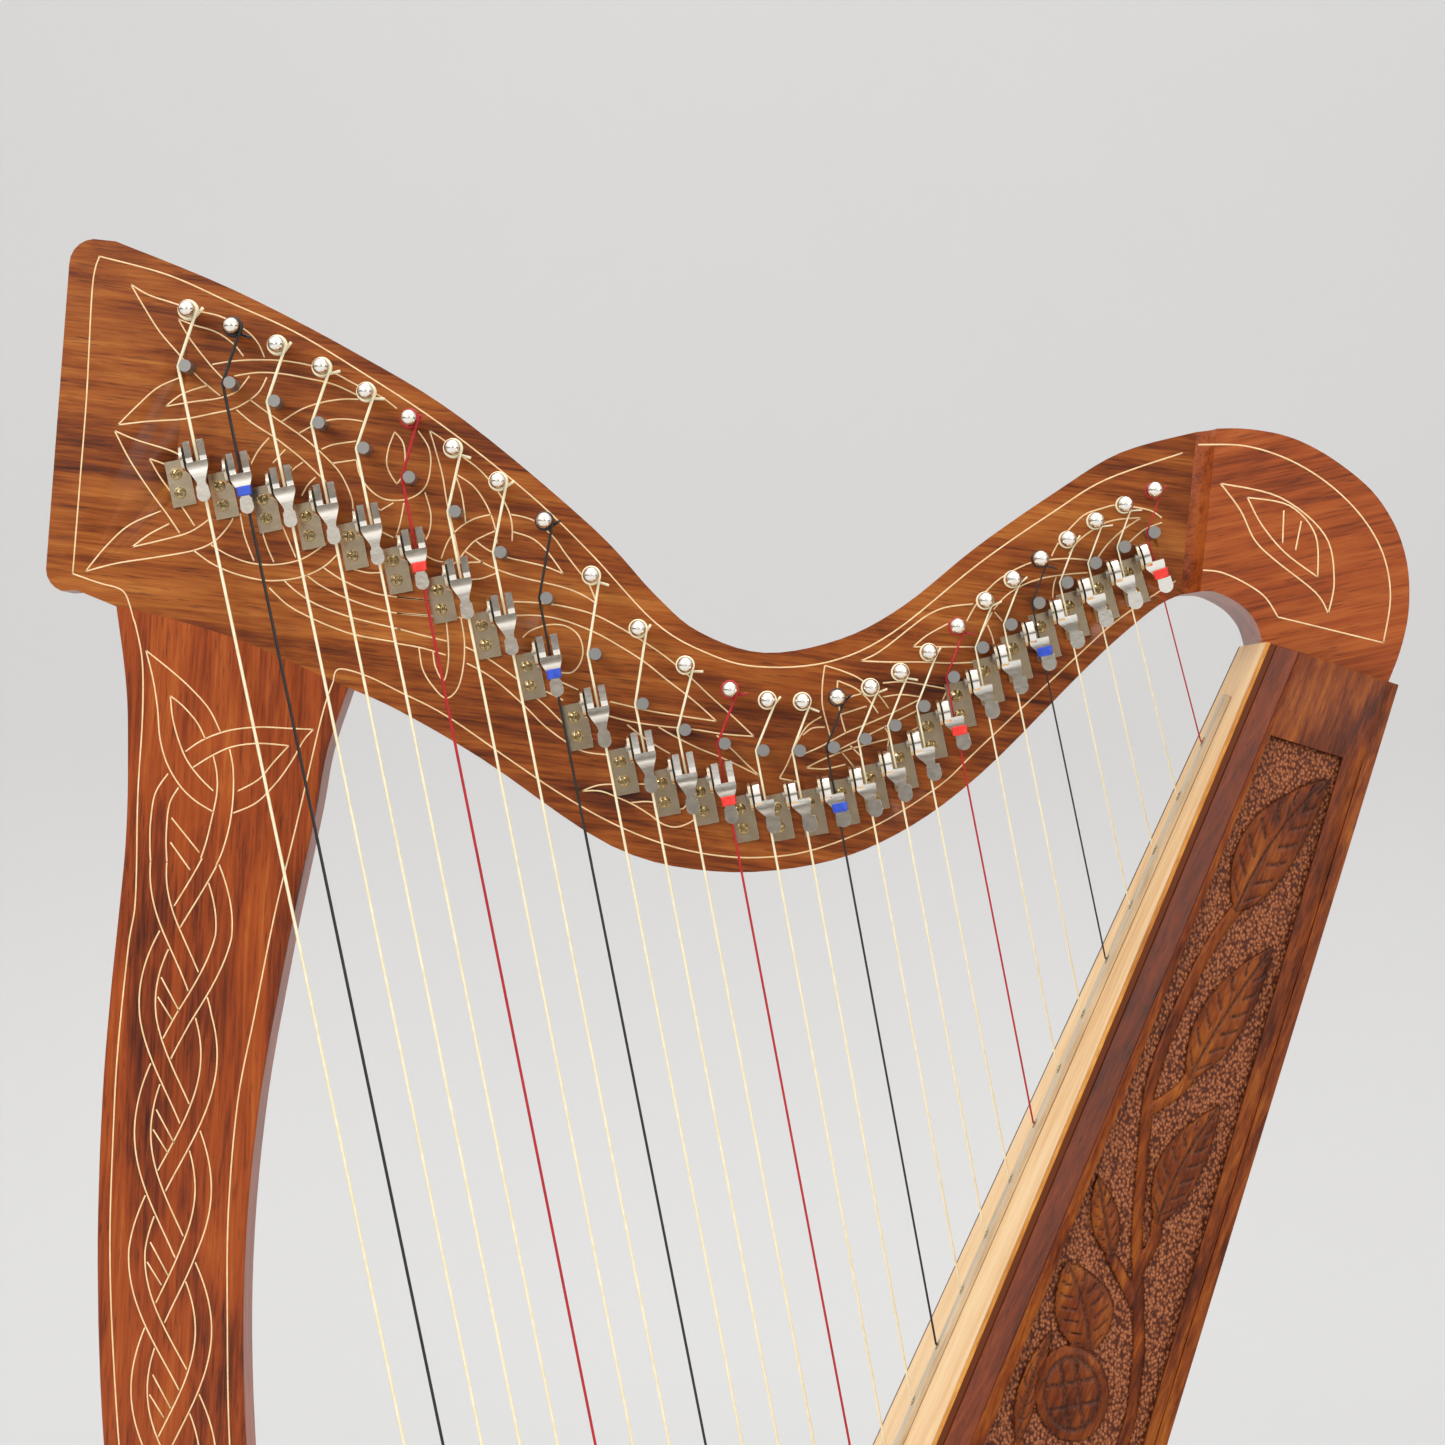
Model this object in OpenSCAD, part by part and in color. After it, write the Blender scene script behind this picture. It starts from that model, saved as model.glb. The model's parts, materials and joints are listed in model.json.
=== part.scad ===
// Lever harp, 27 strings: a curved neck and pillar with inlay, a carved staved soundbox,
// and one sharping lever on every string. Units are millimetres.
// +Z is up, +X runs from the pillar to the soundbox, and -Y is the side that carries the levers.

/* [Neck and pillar] */
// Thickness of the neck and pillar boards
neck_t = 28; // [24:1:32]
// Thickness of the shoulder block
shoulder_t = 50; // [46:1:60]
// Corner radius of the head
head_r = 10; // [6:1:14]

/* [Soundbox] */
// Angle between the soundboard and the vertical
board_tilt = 23.7; // [23.5:0.1:23.9]
// Half the soundboard's width at its top end
board_half_top = 38; // [36:1:40]
// Growth of that half width per millimetre down the board
board_flare = 0.122; // [0.115:0.001:0.13]
// Thickness of the soundboard
board_t = 4; // [3:0.5:5]
// Depth of the angled corner stave behind the soundboard's front
stave_d = 13.5; // [12:0.5:16]
// Thickness of the side panels
side_t = 6; // [5:0.5:8]
// Thickness of the back panel
back_t = 5; // [4:0.5:6]
// Depth of the carved field below the side panel's face
carve_d = 3; // [2:0.5:3.5]

/* [Strings] */
// Height of the strings above the neck's face at the bridge pins
string_h = 11; // [10.5:0.5:12]
// Radius of the longest string
string_r_bass = 0.7; // [0.6:0.05:0.8]
// Radius of the shortest string
string_r_treble = 0.32; // [0.25:0.01:0.4]
// Radius of a tuning pin
pin_r = 3; // [2.6:0.1:3.2]
// Radius of a bridge pin
bridge_r = 2.6; // [2:0.1:3]

/* [Levers] */
// Width of a lever's body
lever_w = 9; // [8.5:0.1:9.2]
// Thickness of the sheet metal of a bracket
bracket_t = 1.2; // [1:0.1:1.5]
// Radius of a lever's axle
axle_r = 1.2; // [1:0.1:1.4]

/* [Base] */
// Height of a foot
foot_h = 10; // [8:1:14]
// Thickness of the base plate
plate_t = 18; // [14:1:20]

/* [Hidden] */
$fn = 48;

string_count = 27;
forked_levers = 13;
face_y = -neck_t / 2;
string_y = face_y - string_h;
floor_z = foot_h + plate_t;
fit = 0.02;
running_fit = 0.04;
far = 900;

// Colours of the finishes
rosewood = "#8a4a22";
dark_rosewood = "#5a2a14";
spruce = "#f0cf9c";
rib_wood = "#c9b8a4";
nickel = "#c8c6c2";
steel = "#8e8e90";
brass = "#b08d45";
black = "#1c1c1c";
nylon = "#f0e6c0";
red = "#b01020";

// ---- Curves -------------------------------------------------------------------------------

// A point between b and c on the smooth curve through a, b, c and d
function between(a, b, c, d, t) =
    0.5 * (2 * b + (c - a) * t + (2 * a - 5 * b + 4 * c - d) * t * t
    + (3 * b - a - 3 * c + d) * t * t * t);

// The smooth open curve through the points p, with n steps a span
function smooth(p, n = 5) = concat(
    [for (i = [0:len(p) - 2], k = [0:n - 1])
        between(p[max(i - 1, 0)], p[i], p[i + 1], p[min(i + 2, len(p) - 1)], k / n)],
    [p[len(p) - 1]]);

// An arc of radius r about c, from angle a to angle b, in n steps
function arc(c, r, a, b, n = 6) = [for (k = [0:n]) let (q = a + (b - a) * k / n)
    c + r * [cos(q), sin(q)]];

// Row of a table of [number, x, z] rows that holds the number t
function span_of(rows, t) = max([for (i = [0:len(rows) - 2]) if (rows[i][0] <= t) i]);
function row_slope(rows, i) =
    let (a = rows[max(i - 1, 0)], b = rows[min(i + 1, len(rows) - 1)])
    [b[1] - a[1], b[2] - a[2]] / (b[0] - a[0]);
// Place along such a table, as a cubic curve whose slopes come from the rows on each side
function along(rows, t) =
    let (i = span_of(rows, t), a = rows[i], b = rows[i + 1], h = b[0] - a[0], q = (t - a[0]) / h)
    (2 * q * q * q - 3 * q * q + 1) * [a[1], a[2]]
    + (q * q * q - 2 * q * q + q) * h * row_slope(rows, i)
    + (3 * q * q - 2 * q * q * q) * [b[1], b[2]]
    + (q * q * q - q * q) * h * row_slope(rows, i + 1);

function unit(v) = v / norm(v);

// ---- Outlines in the x-z plane ------------------------------------------------------------

// Top edge of the neck from the head's rounded corner to the shoulder
neck_top = smooth([[-262, 919], [-211, 898], [-157, 870], [-112, 842], [-57, 796], [-30, 767],
    [-11, 751], [17, 742], [50, 748], [78, 763], [109, 788], [142, 811], [170, 828], [203, 837]]);
// Bottom edge of the neck from the shoulder to the pillar's inner edge
neck_bottom = smooth([[196, 767], [186, 762], [170, 749], [153, 733], [109, 689], [74, 664],
    [39, 651], [-5, 648], [-49, 659], [-104, 696], [-140, 717], [-162, 727]]);
// Seam between the neck and the pillar, and the head's lower edge
seam = smooth([[-162, 727], [-205, 746], [-236, 756], [-262, 762]]);
head_foot = [-279, 769];
head_low = arc([-282, 778], head_r, 250, 180, 4);
head_high = arc([-271, 909], head_r + 1, 178, 92, 5);

pillar_outer = smooth([[-262, 762], [-258, 731], [-257, 705], [-258, 660], [-264, 600],
    [-268, 550], [-270, 490], [-269, 430], [-265, 370], [-259, 310], [-250, 240], [-238, 170],
    [-224, 100]]);
pillar_inner = smooth([[-160, 100], [-172, 150], [-185, 220], [-195, 290], [-203, 360],
    [-207, 430], [-206, 490], [-200, 550], [-190, 606], [-184, 636], [-176, 673], [-171, 700],
    [-162, 727]]);

// Top corners of the soundbox in profile, and the run of its back
box_top_front = [229.5, 746];
box_top_back = [286, 728];
back_tilt = 18.1;
function board_x(z) = box_top_front[0] - (box_top_front[1] - z) * tan(board_tilt);
function back_x(z) = box_top_back[0] - (box_top_back[1] - z) * tan(back_tilt);
box_profile = [box_top_front, box_top_back, [back_x(floor_z), floor_z],
    [board_x(floor_z), floor_z]];

shoulder_bottom = [283, 729];
shoulder_outer = smooth([shoulder_bottom, [288, 742], [291.5, 757], [292, 772], [290, 785],
    [285, 798], [276, 811], [263, 822], [250, 830], [237, 835], [220, 837.5], [203, 837]]);
shoulder_arch = smooth([[196, 767], [207, 768], [215.5, 765], [222, 760.5], [227, 754],
    box_top_front]);
shoulder_seam_tilt = atan((203 - 196) / (837 - 767));

// ---- Strings ------------------------------------------------------------------------------

// String number, x and z of chosen bridge pins and tuning pins; the others lie between them
bridge_rows = [[1, -230, 864], [3, -192, 849], [5, -154, 829], [7, -115, 802], [9, -76, 765],
    [11, -35, 720], [13, 0, 703], [15, 32, 700], [17, 60, 705], [19, 85, 719], [21, 110, 744],
    [25, 158, 780], [27, 183, 793]];
tuning_rows = [[1, -229, 888], [3, -191, 873], [5, -153, 853], [7, -116, 829], [9, -77, 798],
    [11, -37, 752], [13, 2, 726], [15, 33, 721], [17, 62, 727], [19, 87, 742], [21, 111, 764],
    [25, 158, 798], [27, 183, 811]];
function string_r(i) =
    string_r_bass + (string_r_treble - string_r_bass) * (i - 1) / (string_count - 1);
function bridge_at(i) = along(bridge_rows, i);
function tuning_at(i) = along(tuning_rows, i);

// String holes: distance down the board of string i, with the spacing growing to the bass
function hole_u(i) = let (k = string_count - i) 47.7 + 25.6 * k + 0.037 * k * k;
board_down = [-sin(board_tilt), -cos(board_tilt)];
board_in = [cos(board_tilt), -sin(board_tilt)];
rib_t = 3;
rib_w = 11;
inner_rib_t = 6;
bend_up = 0.9;
// Point on the board's centre line, v behind its front face
function board_point(u, v) = let (q = box_top_front + u * board_down + v * board_in)
    [q[0], 0, q[1]];
function string_end(i) = board_point(hole_u(i), -rib_t - bend_up);
// The string rests against the left side of its bridge pin
function string_top(i) = let (b = bridge_at(i))
    [b[0] - bridge_r - string_r(i) - 0.05, string_y, b[1]];
function string_dir(i) = unit(string_end(i) - string_top(i));
function lean(i) = let (d = string_end(i) - string_top(i)) atan2(d[0], -d[2]);
function rake(i) = let (d = string_end(i) - string_top(i)) atan2(d[1], norm([d[0], d[2]]));

// Distance from the bridge pin down to the lever's axle
function lever_drop(i) = i <= forked_levers
    ? 39 - 2.05 * (i - 1)
    : 19 - 0.72 * (i - forked_levers - 1);
function lever_at(i) = string_top(i) + lever_drop(i) * string_dir(i);

is_c = [for (i = [0:string_count]) (i + 1) % 7 == 0];
is_f = [for (i = [0:string_count]) (i + 5) % 7 == 0];

// ---- Helpers ------------------------------------------------------------------------------

// Outline in the x-z plane, given thickness along y and centred on y = 0
module board(outline, thickness) {
    rotate([90, 0, 0])
        translate([0, 0, -thickness / 2])
            linear_extrude(thickness)
                polygon(outline);
}

// Cylinder from point a to point b
module rod(a, b, r) {
    d = b - a;
    translate(a)
        rotate([0, acos(d[2] / norm(d)), atan2(d[1], d[0])])
            cylinder(h = norm(d), r = r);
}

// Everything on the side of a plane through p to which n points
module beyond(p, n) {
    u = unit(n);
    translate(p)
        rotate([0, acos(u[2]), atan2(u[1], u[0])])
            translate([-far, -far, 0])
                cube([2 * far, 2 * far, far]);
}

// Slab behind the board's front face, from depth v0 to v1
module behind_front(v0, v1) {
    translate([box_top_front[0], 0, box_top_front[1]])
        rotate([0, board_tilt, 0])
            translate([v0, -far / 2, -far])
                cube([v1 - v0, far, 1.2 * far]);
}

// Slab in front of the box's back face, from depth d0 to d1
module before_back(d0, d1) {
    translate([box_top_back[0], 0, box_top_back[1]])
        rotate([0, back_tilt, 0])
            translate([-d1, -far / 2, -far])
                cube([d1 - d0, far, 1.2 * far]);
}

// Everything outside the sloping plane at half width a + flare * u + c * v, on one side
module outside(a, c, side) {
    g = board_flare * board_down + c * board_in;
    beyond([box_top_front[0], side * a, box_top_front[1]], [-g[0], side, -g[1]]);
}

// Plane of a side panel and of a corner stave: half width at the top, and change with depth
side_c = -0.2;
side_a = board_half_top + 4 - side_c * stave_d;
stave_c = 4 / (stave_d - board_t);
stave_a = board_half_top - stave_c * board_t;
slant = sqrt(1 + board_flare * board_flare + side_c * side_c);

// The soundbox's solid profile between two depths behind the front
module box_slab(v0, v1) {
    intersection() {
        board(box_profile, 400);
        behind_front(v0, v1);
    }
}

// ---- Neck, pillar and shoulder ------------------------------------------------------------

dowel_r = 5;
dowel_half = 26;
pillar_dowels = [[-190, 738], [-232, 754]];
shoulder_dowels = [[200, 782], [200, 824]];
shoulder_dowel_half = 14;

module pillar_dowel_rods(r, half) {
    for (p = pillar_dowels)
        rod([p[0] - half * 0.33, 0, p[1] - half * 0.94], [p[0] + half * 0.33, 0, p[1] + half * 0.94],
            r);
}

module shoulder_dowel_rods(r, half) {
    for (p = shoulder_dowels)
        rod([p[0] - half, 0, p[1]], [p[0] + half, 0, p[1]], r);
}

module tuning_bores(r) {
    for (i = [1:string_count]) {
        p = tuning_at(i);
        translate([p[0], far / 2, p[1]])
            rotate([90, 0, 0])
                cylinder(h = far, r = r);
    }
}

module bridge_bores(r) {
    for (i = [1:string_count]) {
        p = bridge_at(i);
        translate([p[0], face_y + 14, p[1]])
            rotate([90, 0, 0])
                cylinder(h = 40, r = r);
    }
}

module neck() {
    color(rosewood)
    difference() {
        board(concat(neck_top, neck_bottom, seam, [head_foot], head_low, head_high), neck_t);
        tuning_bores(pin_r + fit);
        bridge_bores(bridge_stem_r + fit);
        bracket_screw_shanks(screw_r + fit, screw_len + 1);
        pillar_dowel_rods(dowel_r + fit, dowel_half + 1);
        shoulder_dowel_rods(dowel_r + fit, shoulder_dowel_half + 1);
    }
}

pillar_foot = [-192, 0, 100];
bolt_r = 4;
bolt_top = 130;

module pillar() {
    color(rosewood)
    difference() {
        board(concat(pillar_outer, pillar_inner, seam), neck_t);
        pillar_dowel_rods(dowel_r + fit, dowel_half + 1);
        translate([pillar_foot[0], 0, 0])
            cylinder(h = bolt_top + 1, r = bolt_r + fit);
    }
}

// Wedge that eases the shoulder block down to the neck's face, on one side
module shoulder_ease(side) {
    ease = 7;
    translate([196, 0, 767])
        rotate([0, shoulder_seam_tilt, 0])
            translate([0, 0, -60])
                linear_extrude(160)
                    polygon([[-8, side * (neck_t / 2)], [0, side * (neck_t / 2)],
                        [ease * 0.45, side * (neck_t / 2 + 2)],
                        [ease * 0.8, side * (neck_t / 2 + 5.5)],
                        [ease, side * shoulder_t / 2 + side], [-8, side * shoulder_t / 2 + side]]);
}

// Dowels across the joint between the shoulder and the soundbox, square to that joint
box_dowels = [[245, 741], [268, 734]];
box_dowel_up = 20;
box_dowel_down = 16;

module box_dowel_rods(r, extra) {
    slope = atan2(box_top_front[1] - box_top_back[1], box_top_back[0] - box_top_front[0]);
    for (p = box_dowels)
        translate([p[0], 0, p[1]])
            rotate([0, slope, 0])
                translate([0, 0, -box_dowel_down - extra])
                    cylinder(h = box_dowel_up + box_dowel_down + 2 * extra, r = r);
}

module shoulder_block() {
    color(rosewood)
    difference() {
        board(concat(shoulder_arch, shoulder_outer), shoulder_t);
        shoulder_ease(-1);
        shoulder_ease(1);
        shoulder_dowel_rods(dowel_r + fit, shoulder_dowel_half + 1);
        box_dowel_rods(dowel_r + fit, 1);
    }
}

module joint_dowels() {
    color(spruce) {
        pillar_dowel_rods(dowel_r, dowel_half);
        shoulder_dowel_rods(dowel_r, shoulder_dowel_half);
        box_dowel_rods(dowel_r, 0);
    }
}

module pillar_bolt() {
    color(steel) {
        translate([pillar_foot[0], 0, foot_h + 3])
            cylinder(h = bolt_top - foot_h - 3, r = bolt_r);
        translate([pillar_foot[0], 0, foot_h + 1])
            cylinder(h = 5, r = 8, $fn = 6);
    }
}

// ---- Soundbox -----------------------------------------------------------------------------

block_depth = 24;

// The wedge just below the box's top, inside the panels
module top_block() {
    inner_front = box_top_front + board_t * board_in;
    color(rosewood)
    difference() {
        intersection() {
            board([inner_front, box_top_back, box_top_back - [8, block_depth],
                inner_front - [8, block_depth]], 200);
            board(box_profile, 200);
        }
        before_back(-1, back_t);
        behind_front(-far / 3, board_t);
        for (side = [-1, 1]) {
            outside(side_a - side_t * slant, side_c, side);
            outside(board_half_top - stave_w, 0, side);
        }
        box_dowel_rods(dowel_r + fit, 1);
    }
}

bind_w = 4;
stave_w = 14;

module string_bores(r) {
    for (i = [1:string_count])
        rod(board_point(hole_u(i), -10), board_point(hole_u(i), 30), r);
}

module soundboard() {
    color(spruce)
    difference() {
        box_slab(0, board_t);
        for (side = [-1, 1])
            outside(board_half_top - bind_w, 0, side);
        string_bores(1.2);
    }
}

module binding(side) {
    color("#c98d45")
    difference() {
        box_slab(0, board_t);
        outside(board_half_top, 0, side);
        difference() {
            board(box_profile, 400);
            outside(board_half_top - bind_w, 0, side);
        }
    }
}
module binding_left() { binding(-1); }
module binding_right() { binding(1); }

rib_top = 25;
rib_end = 752;

// Strip along the middle of the board, from depth v0 to v1
module rib_strip(v0, v1, w) {
    translate([box_top_front[0], 0, box_top_front[1]])
        rotate([0, board_tilt, 0])
            translate([v0, -w / 2, -rib_end])
                cube([v1 - v0, w, rib_end - rib_top]);
}

module string_rib() {
    color(rib_wood)
    difference() {
        rib_strip(-rib_t, 0, rib_w);
        string_bores(1.2);
    }
}

module inner_rib() {
    color(spruce)
    difference() {
        intersection() {
            rib_strip(board_t, board_t + inner_rib_t, 18);
            translate([-far, -50, floor_z + 22])
                cube([2 * far, 100, 670]);
        }
        string_bores(1.2);
    }
}

module corner_stave(side) {
    color(dark_rosewood)
    difference() {
        box_slab(board_t, stave_d);
        outside(stave_a, stave_c, side);
        before_back(-1, back_t);
        difference() {
            board(box_profile, 400);
            outside(board_half_top - stave_w, 0, side);
        }
    }
}
module corner_stave_left() { corner_stave(-1); }
module corner_stave_right() { corner_stave(1); }

// Carved field: where it starts and ends down the board, and its edge along the stave
field_top = 36;
field_end = 700;
function field_front(u) = stave_d + 2 + 0.011 * (u - field_top);
field_bend = 400;
function field_back(u) = 49 + 0.113 * (min(u, field_bend) - field_top)
    + 0.095 * max(u - field_bend, 0);

// Leaf outline from base to tip, widest at the middle and w wide, in u and v
function leaf(base, tip, w) =
    let (d = tip - base, n = [-d[1], d[0]] / norm(d))
    concat([for (k = [0:8]) base + d * k / 8 + n * w * sin(22.5 * k) / 2],
        [for (k = [7:-1:1]) base + d * k / 8 - n * w * sin(22.5 * k) / 2]);

// Leaves of the carving: base, tip and width
leaves = [
    [[109, 30], [43, 46], 25], [[181, 40], [117, 52], 19], [[242, 51], [187, 57], 18],
    [[262, 38], [233, 19], 11], [[300, 52], [270, 22], 26], [[424, 58], [366, 36], 24],
    [[420, 78], [362, 76], 16], [[500, 84], [438, 82], 20], [[548, 64], [486, 44], 26],
    [[600, 94], [534, 92], 22], [[660, 74], [592, 52], 28]];
bud = [319, 45.5];
bud_r = 16;
stem = smooth([[109, 30], [135, 26], [167, 25], [198, 28], [219, 35], [246, 44], [286, 62],
    [317, 72], [350, 75], [424, 70], [500, 78], [570, 86], [640, 90], [698, 94]], 3);
stem_w = 4;

// Points given in u and v, in the x-z plane
function on_board(points) = [for (p = points) box_top_front + p[0] * board_down
    + p[1] * board_in];

module carved_shapes() {
    for (l = leaves)
        board(on_board(leaf(l[0], l[1], l[2])), 400);
    board(on_board(arc(bud, bud_r, 0, 345, 23)), 400);
    board(on_board(concat([for (p = stem) p - [0, stem_w / 2]],
        [for (k = [len(stem) - 1:-1:0]) stem[k] + [0, stem_w / 2]])), 400);
}

// The sunk ground of the carving, with the leaves left standing a little below the face
module carving_cut(side) {
    intersection() {
        difference() {
            board(on_board([[field_top, field_front(field_top)], [field_top - 4,
                field_back(field_top)], [field_bend, field_back(field_bend)],
                [field_end - 30, field_back(field_end - 30)],
                [field_end, field_front(field_end)]]), 400);
            intersection() {
                carved_shapes();
                beyond([0, 0, 0], [0, side, 0]);
                difference() {
                    board(box_profile, 420);
                    outside(side_a - 0.8, side_c, side);
                }
            }
        }
        outside(side_a - carve_d * slant, side_c, side);
    }
}

module side_panel(side) {
    color(rosewood)
    difference() {
        box_slab(stave_d, 300);
        outside(side_a, side_c, side);
        before_back(-1, back_t);
        difference() {
            board(box_profile, 400);
            outside(side_a - side_t * slant, side_c, side);
        }
        carving_cut(side);
    }
}
module side_panel_left() { side_panel(-1); }
module side_panel_right() { side_panel(1); }

// Sound holes: height of the centre, half length and radius
sound_holes = [[610, 12, 20], [490, 20, 25], [360, 25, 30], [215, 30, 35]];

module back_panel() {
    color(rosewood)
    difference() {
        intersection() {
            board(box_profile, 400);
            before_back(0, back_t);
        }
        for (side = [-1, 1])
            outside(side_a, side_c, side);
        for (h = sound_holes)
            translate([back_x(h[0]), 0, h[0]])
                rotate([0, back_tilt, 0]) {
                    for (s = [-1, 1])
                        translate([-30, 0, s * h[1]])
                            rotate([0, 90, 0])
                                cylinder(h = 60, r = h[2]);
                    translate([-30, -h[2], -h[1]])
                        cube([60, 2 * h[2], 2 * h[1]]);
                }
    }
}

brace_z = [130, 290, 430, 555, 668];

// Bars across the inside of the back, between the sound holes
module back_braces() {
    color(spruce)
    for (z = brace_z)
        difference() {
            translate([back_x(z), 0, z])
                rotate([0, back_tilt, 0])
                    translate([-back_t - 12, -150, -5])
                        cube([12, 300, 10]);
            for (side = [-1, 1])
                outside(side_a - side_t * slant, side_c, side);
        }
}

module bottom_block() {
    color(rosewood)
    difference() {
        intersection() {
            board(box_profile, 400);
            translate([-far, -far, floor_z])
                cube([2 * far, 2 * far, 20]);
        }
        before_back(-1, back_t);
        behind_front(-far / 3, stave_d);
        for (side = [-1, 1])
            outside(side_a - side_t * slant, side_c, side);
        base_screw_shanks(2 + fit);
    }
}

// ---- Base ---------------------------------------------------------------------------------

// Wedge that joins the pillar's foot to the soundbox
base_outline = concat([[-224, 100], [-219, 60], [-216, floor_z],
    [board_x(floor_z), floor_z], [board_x(52), 52]],
    smooth([[board_x(52) - 2, 53], [-100, 54], [-128, 62], [-148, 78], [-160, 100]]));

module base_block() {
    color(rosewood)
    difference() {
        board(base_outline, 40);
        translate([pillar_foot[0], 0, 0])
            cylinder(h = 200, r = bolt_r + fit);
    }
}

plate_half = concat(arc([-218, 22], 14, 180, 95, 5),
    smooth([[-190, 37], [-150, 44], [-118, 68], [-104, 104], [-98, 132]], 4),
    arc([-90, 132], 8, 140, 90, 3), arc([58, 110], 12, 84, 0, 5));
plate_outline = concat(plate_half,
    [for (k = [len(plate_half) - 1:-1:0]) [plate_half[k][0], -plate_half[k][1]]]);

module base_plate() {
    color(dark_rosewood)
    difference() {
        translate([0, 0, foot_h])
            linear_extrude(plate_t)
                polygon(plate_outline);
        translate([pillar_foot[0], 0, foot_h - 1])
            cylinder(h = 7 + fit, r = 8.3);
        translate([pillar_foot[0], 0, 0])
            cylinder(h = 200, r = bolt_r + fit);
        base_screw_shanks(2 + fit);
        base_screw_heads(4 + fit);
    }
}

foot_places = [[-214, -18], [-214, 18], [50, -100], [50, 100]];

module feet() {
    color(black)
    for (p = foot_places)
        translate([p[0], p[1], 0])
            cylinder(h = foot_h, r1 = 10, r2 = 13);
}

screw_places = [[-50, -80], [-50, 80], [25, -80], [25, 80]];

module base_screw_shanks(r) {
    for (p = screw_places)
        translate([p[0], p[1], foot_h + 2])
            cylinder(h = plate_t + 12, r = r);
}

module base_screw_heads(r) {
    for (p = screw_places)
        translate([p[0], p[1], foot_h])
            cylinder(h = 3, r = r);
}

module base_screws() {
    color(steel) {
        base_screw_shanks(2);
        base_screw_heads(4);
    }
}

// ---- Pins ---------------------------------------------------------------------------------

ball_r = 3.45;
pin_out = 17;
pin_back = 16;

// Through pin: square end for the key behind, plain shaft, and a domed end in front
module tuning_pins() {
    color(nickel)
    for (i = [1:string_count]) {
        p = tuning_at(i);
        translate([p[0], 0, p[1]])
            rotate([90, 0, 0]) {
                translate([0, 0, -neck_t / 2 - 3])
                    cylinder(h = neck_t + 3 + pin_out - 2, r = pin_r);
                translate([0, 0, neck_t / 2 + pin_out - 1])
                    sphere(r = ball_r);
                translate([-2.1, -2.1, -neck_t / 2 - pin_back])
                    cube([4.2, 4.2, pin_back]);
            }
    }
}

bridge_stem_r = 2;
bridge_out = string_h + 3;

module bridge_pins() {
    color(steel)
    for (i = [1:string_count]) {
        p = bridge_at(i);
        translate([p[0], face_y, p[1]])
            rotate([90, 0, 0]) {
                translate([0, 0, -13])
                    cylinder(h = 14, r = bridge_stem_r);
                cylinder(h = bridge_out, r = bridge_r);
            }
    }
}

// ---- Levers -------------------------------------------------------------------------------

screw_r = 1.3;
screw_head_r = 2.4;
screw_len = 9;
plate_w = 9;
plate_len = 20;
gap = 0.3;
washer_t = 0.6;
washer_r = 4.8;
ear_r = 6;
ear_left = -lever_w / 2 - gap - washer_t - bracket_t;
slot_half = 1.6;
drum_r = 5.6;

// Frame on the neck's face beside string i: X across the string, Z up along it
module on_face(i) {
    p = lever_at(i);
    translate([p[0], face_y, p[2]])
        rotate([0, -lean(i), 0])
            children();
}

// Frame of lever i: its origin is on the axle where the string crosses, Z runs up the string
module on_string(i) {
    translate(lever_at(i))
        rotate([rake(i), -lean(i), 0])
            children();
}

function axle_h(i) = face_y - lever_at(i)[1];

module bracket(i) {
    h = axle_h(i);
    on_face(i)
        difference() {
            union() {
                translate([ear_left - plate_w, -bracket_t, -plate_len + 1])
                    cube([plate_w + bracket_t, bracket_t, plate_len]);
                translate([ear_left, -h, 0])
                    rotate([0, 90, 0])
                        cylinder(h = bracket_t, r = ear_r);
                translate([ear_left, -h, -ear_r])
                    cube([bracket_t, h, 2 * ear_r]);
            }
            translate([ear_left - 1, -h, 0])
                rotate([0, 90, 0])
                    cylinder(h = 4, r = axle_r + fit);
            screw_row(i)
                cylinder(h = 20, r = screw_r + fit, center = true);
        }
}

// Both screws of bracket i, pointing out of the neck's face
module screw_row(i) {
    for (z = [-4.8, -13.2])
        translate([ear_left - plate_w / 2 - 0.3, 0, z])
            rotate([90, 0, 0])
                children();
}

module bracket_screw_shanks(r, deep) {
    for (i = [1:string_count])
        on_face(i)
            screw_row(i)
                translate([0, 0, -deep])
                    cylinder(h = deep + 0.01, r = r);
}

module bracket_screws() {
    color(brass)
    for (i = [1:string_count])
        on_face(i)
            screw_row(i)
                difference() {
                    union() {
                        translate([0, 0, -screw_len])
                            cylinder(h = screw_len + 1.5, r = screw_r);
                        translate([0, 0, bracket_t])
                            cylinder(h = 1.4, r1 = screw_head_r, r2 = screw_head_r - 0.8);
                    }
                    for (a = [0, 90])
                        rotate([0, 0, a])
                            translate([-1.3, -0.25, bracket_t + 0.6])
                                cube([2.6, 0.5, 2]);
                }
}

module lever_brackets() {
    color(nickel)
    for (i = [1:string_count])
        bracket(i);
}

module lever_axles() {
    color(steel)
    for (i = [1:string_count])
        on_string(i)
            rotate([0, 90, 0]) {
                translate([0, 0, ear_left - 0.9])
                    cylinder(h = 0.9, r = 2);
                translate([0, 0, ear_left - 0.5])
                    cylinder(h = -slot_half - 0.4 - ear_left, r = axle_r);
            }
}

module lever_washers() {
    color(black)
    for (i = [1:string_count])
        on_string(i)
            rotate([0, 90, 0])
                translate([0, 0, ear_left + bracket_t])
                    difference() {
                        cylinder(h = washer_t, r = washer_r);
                        translate([0, 0, -1])
                            cylinder(h = 3, r = axle_r + fit);
                    }
}

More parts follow.
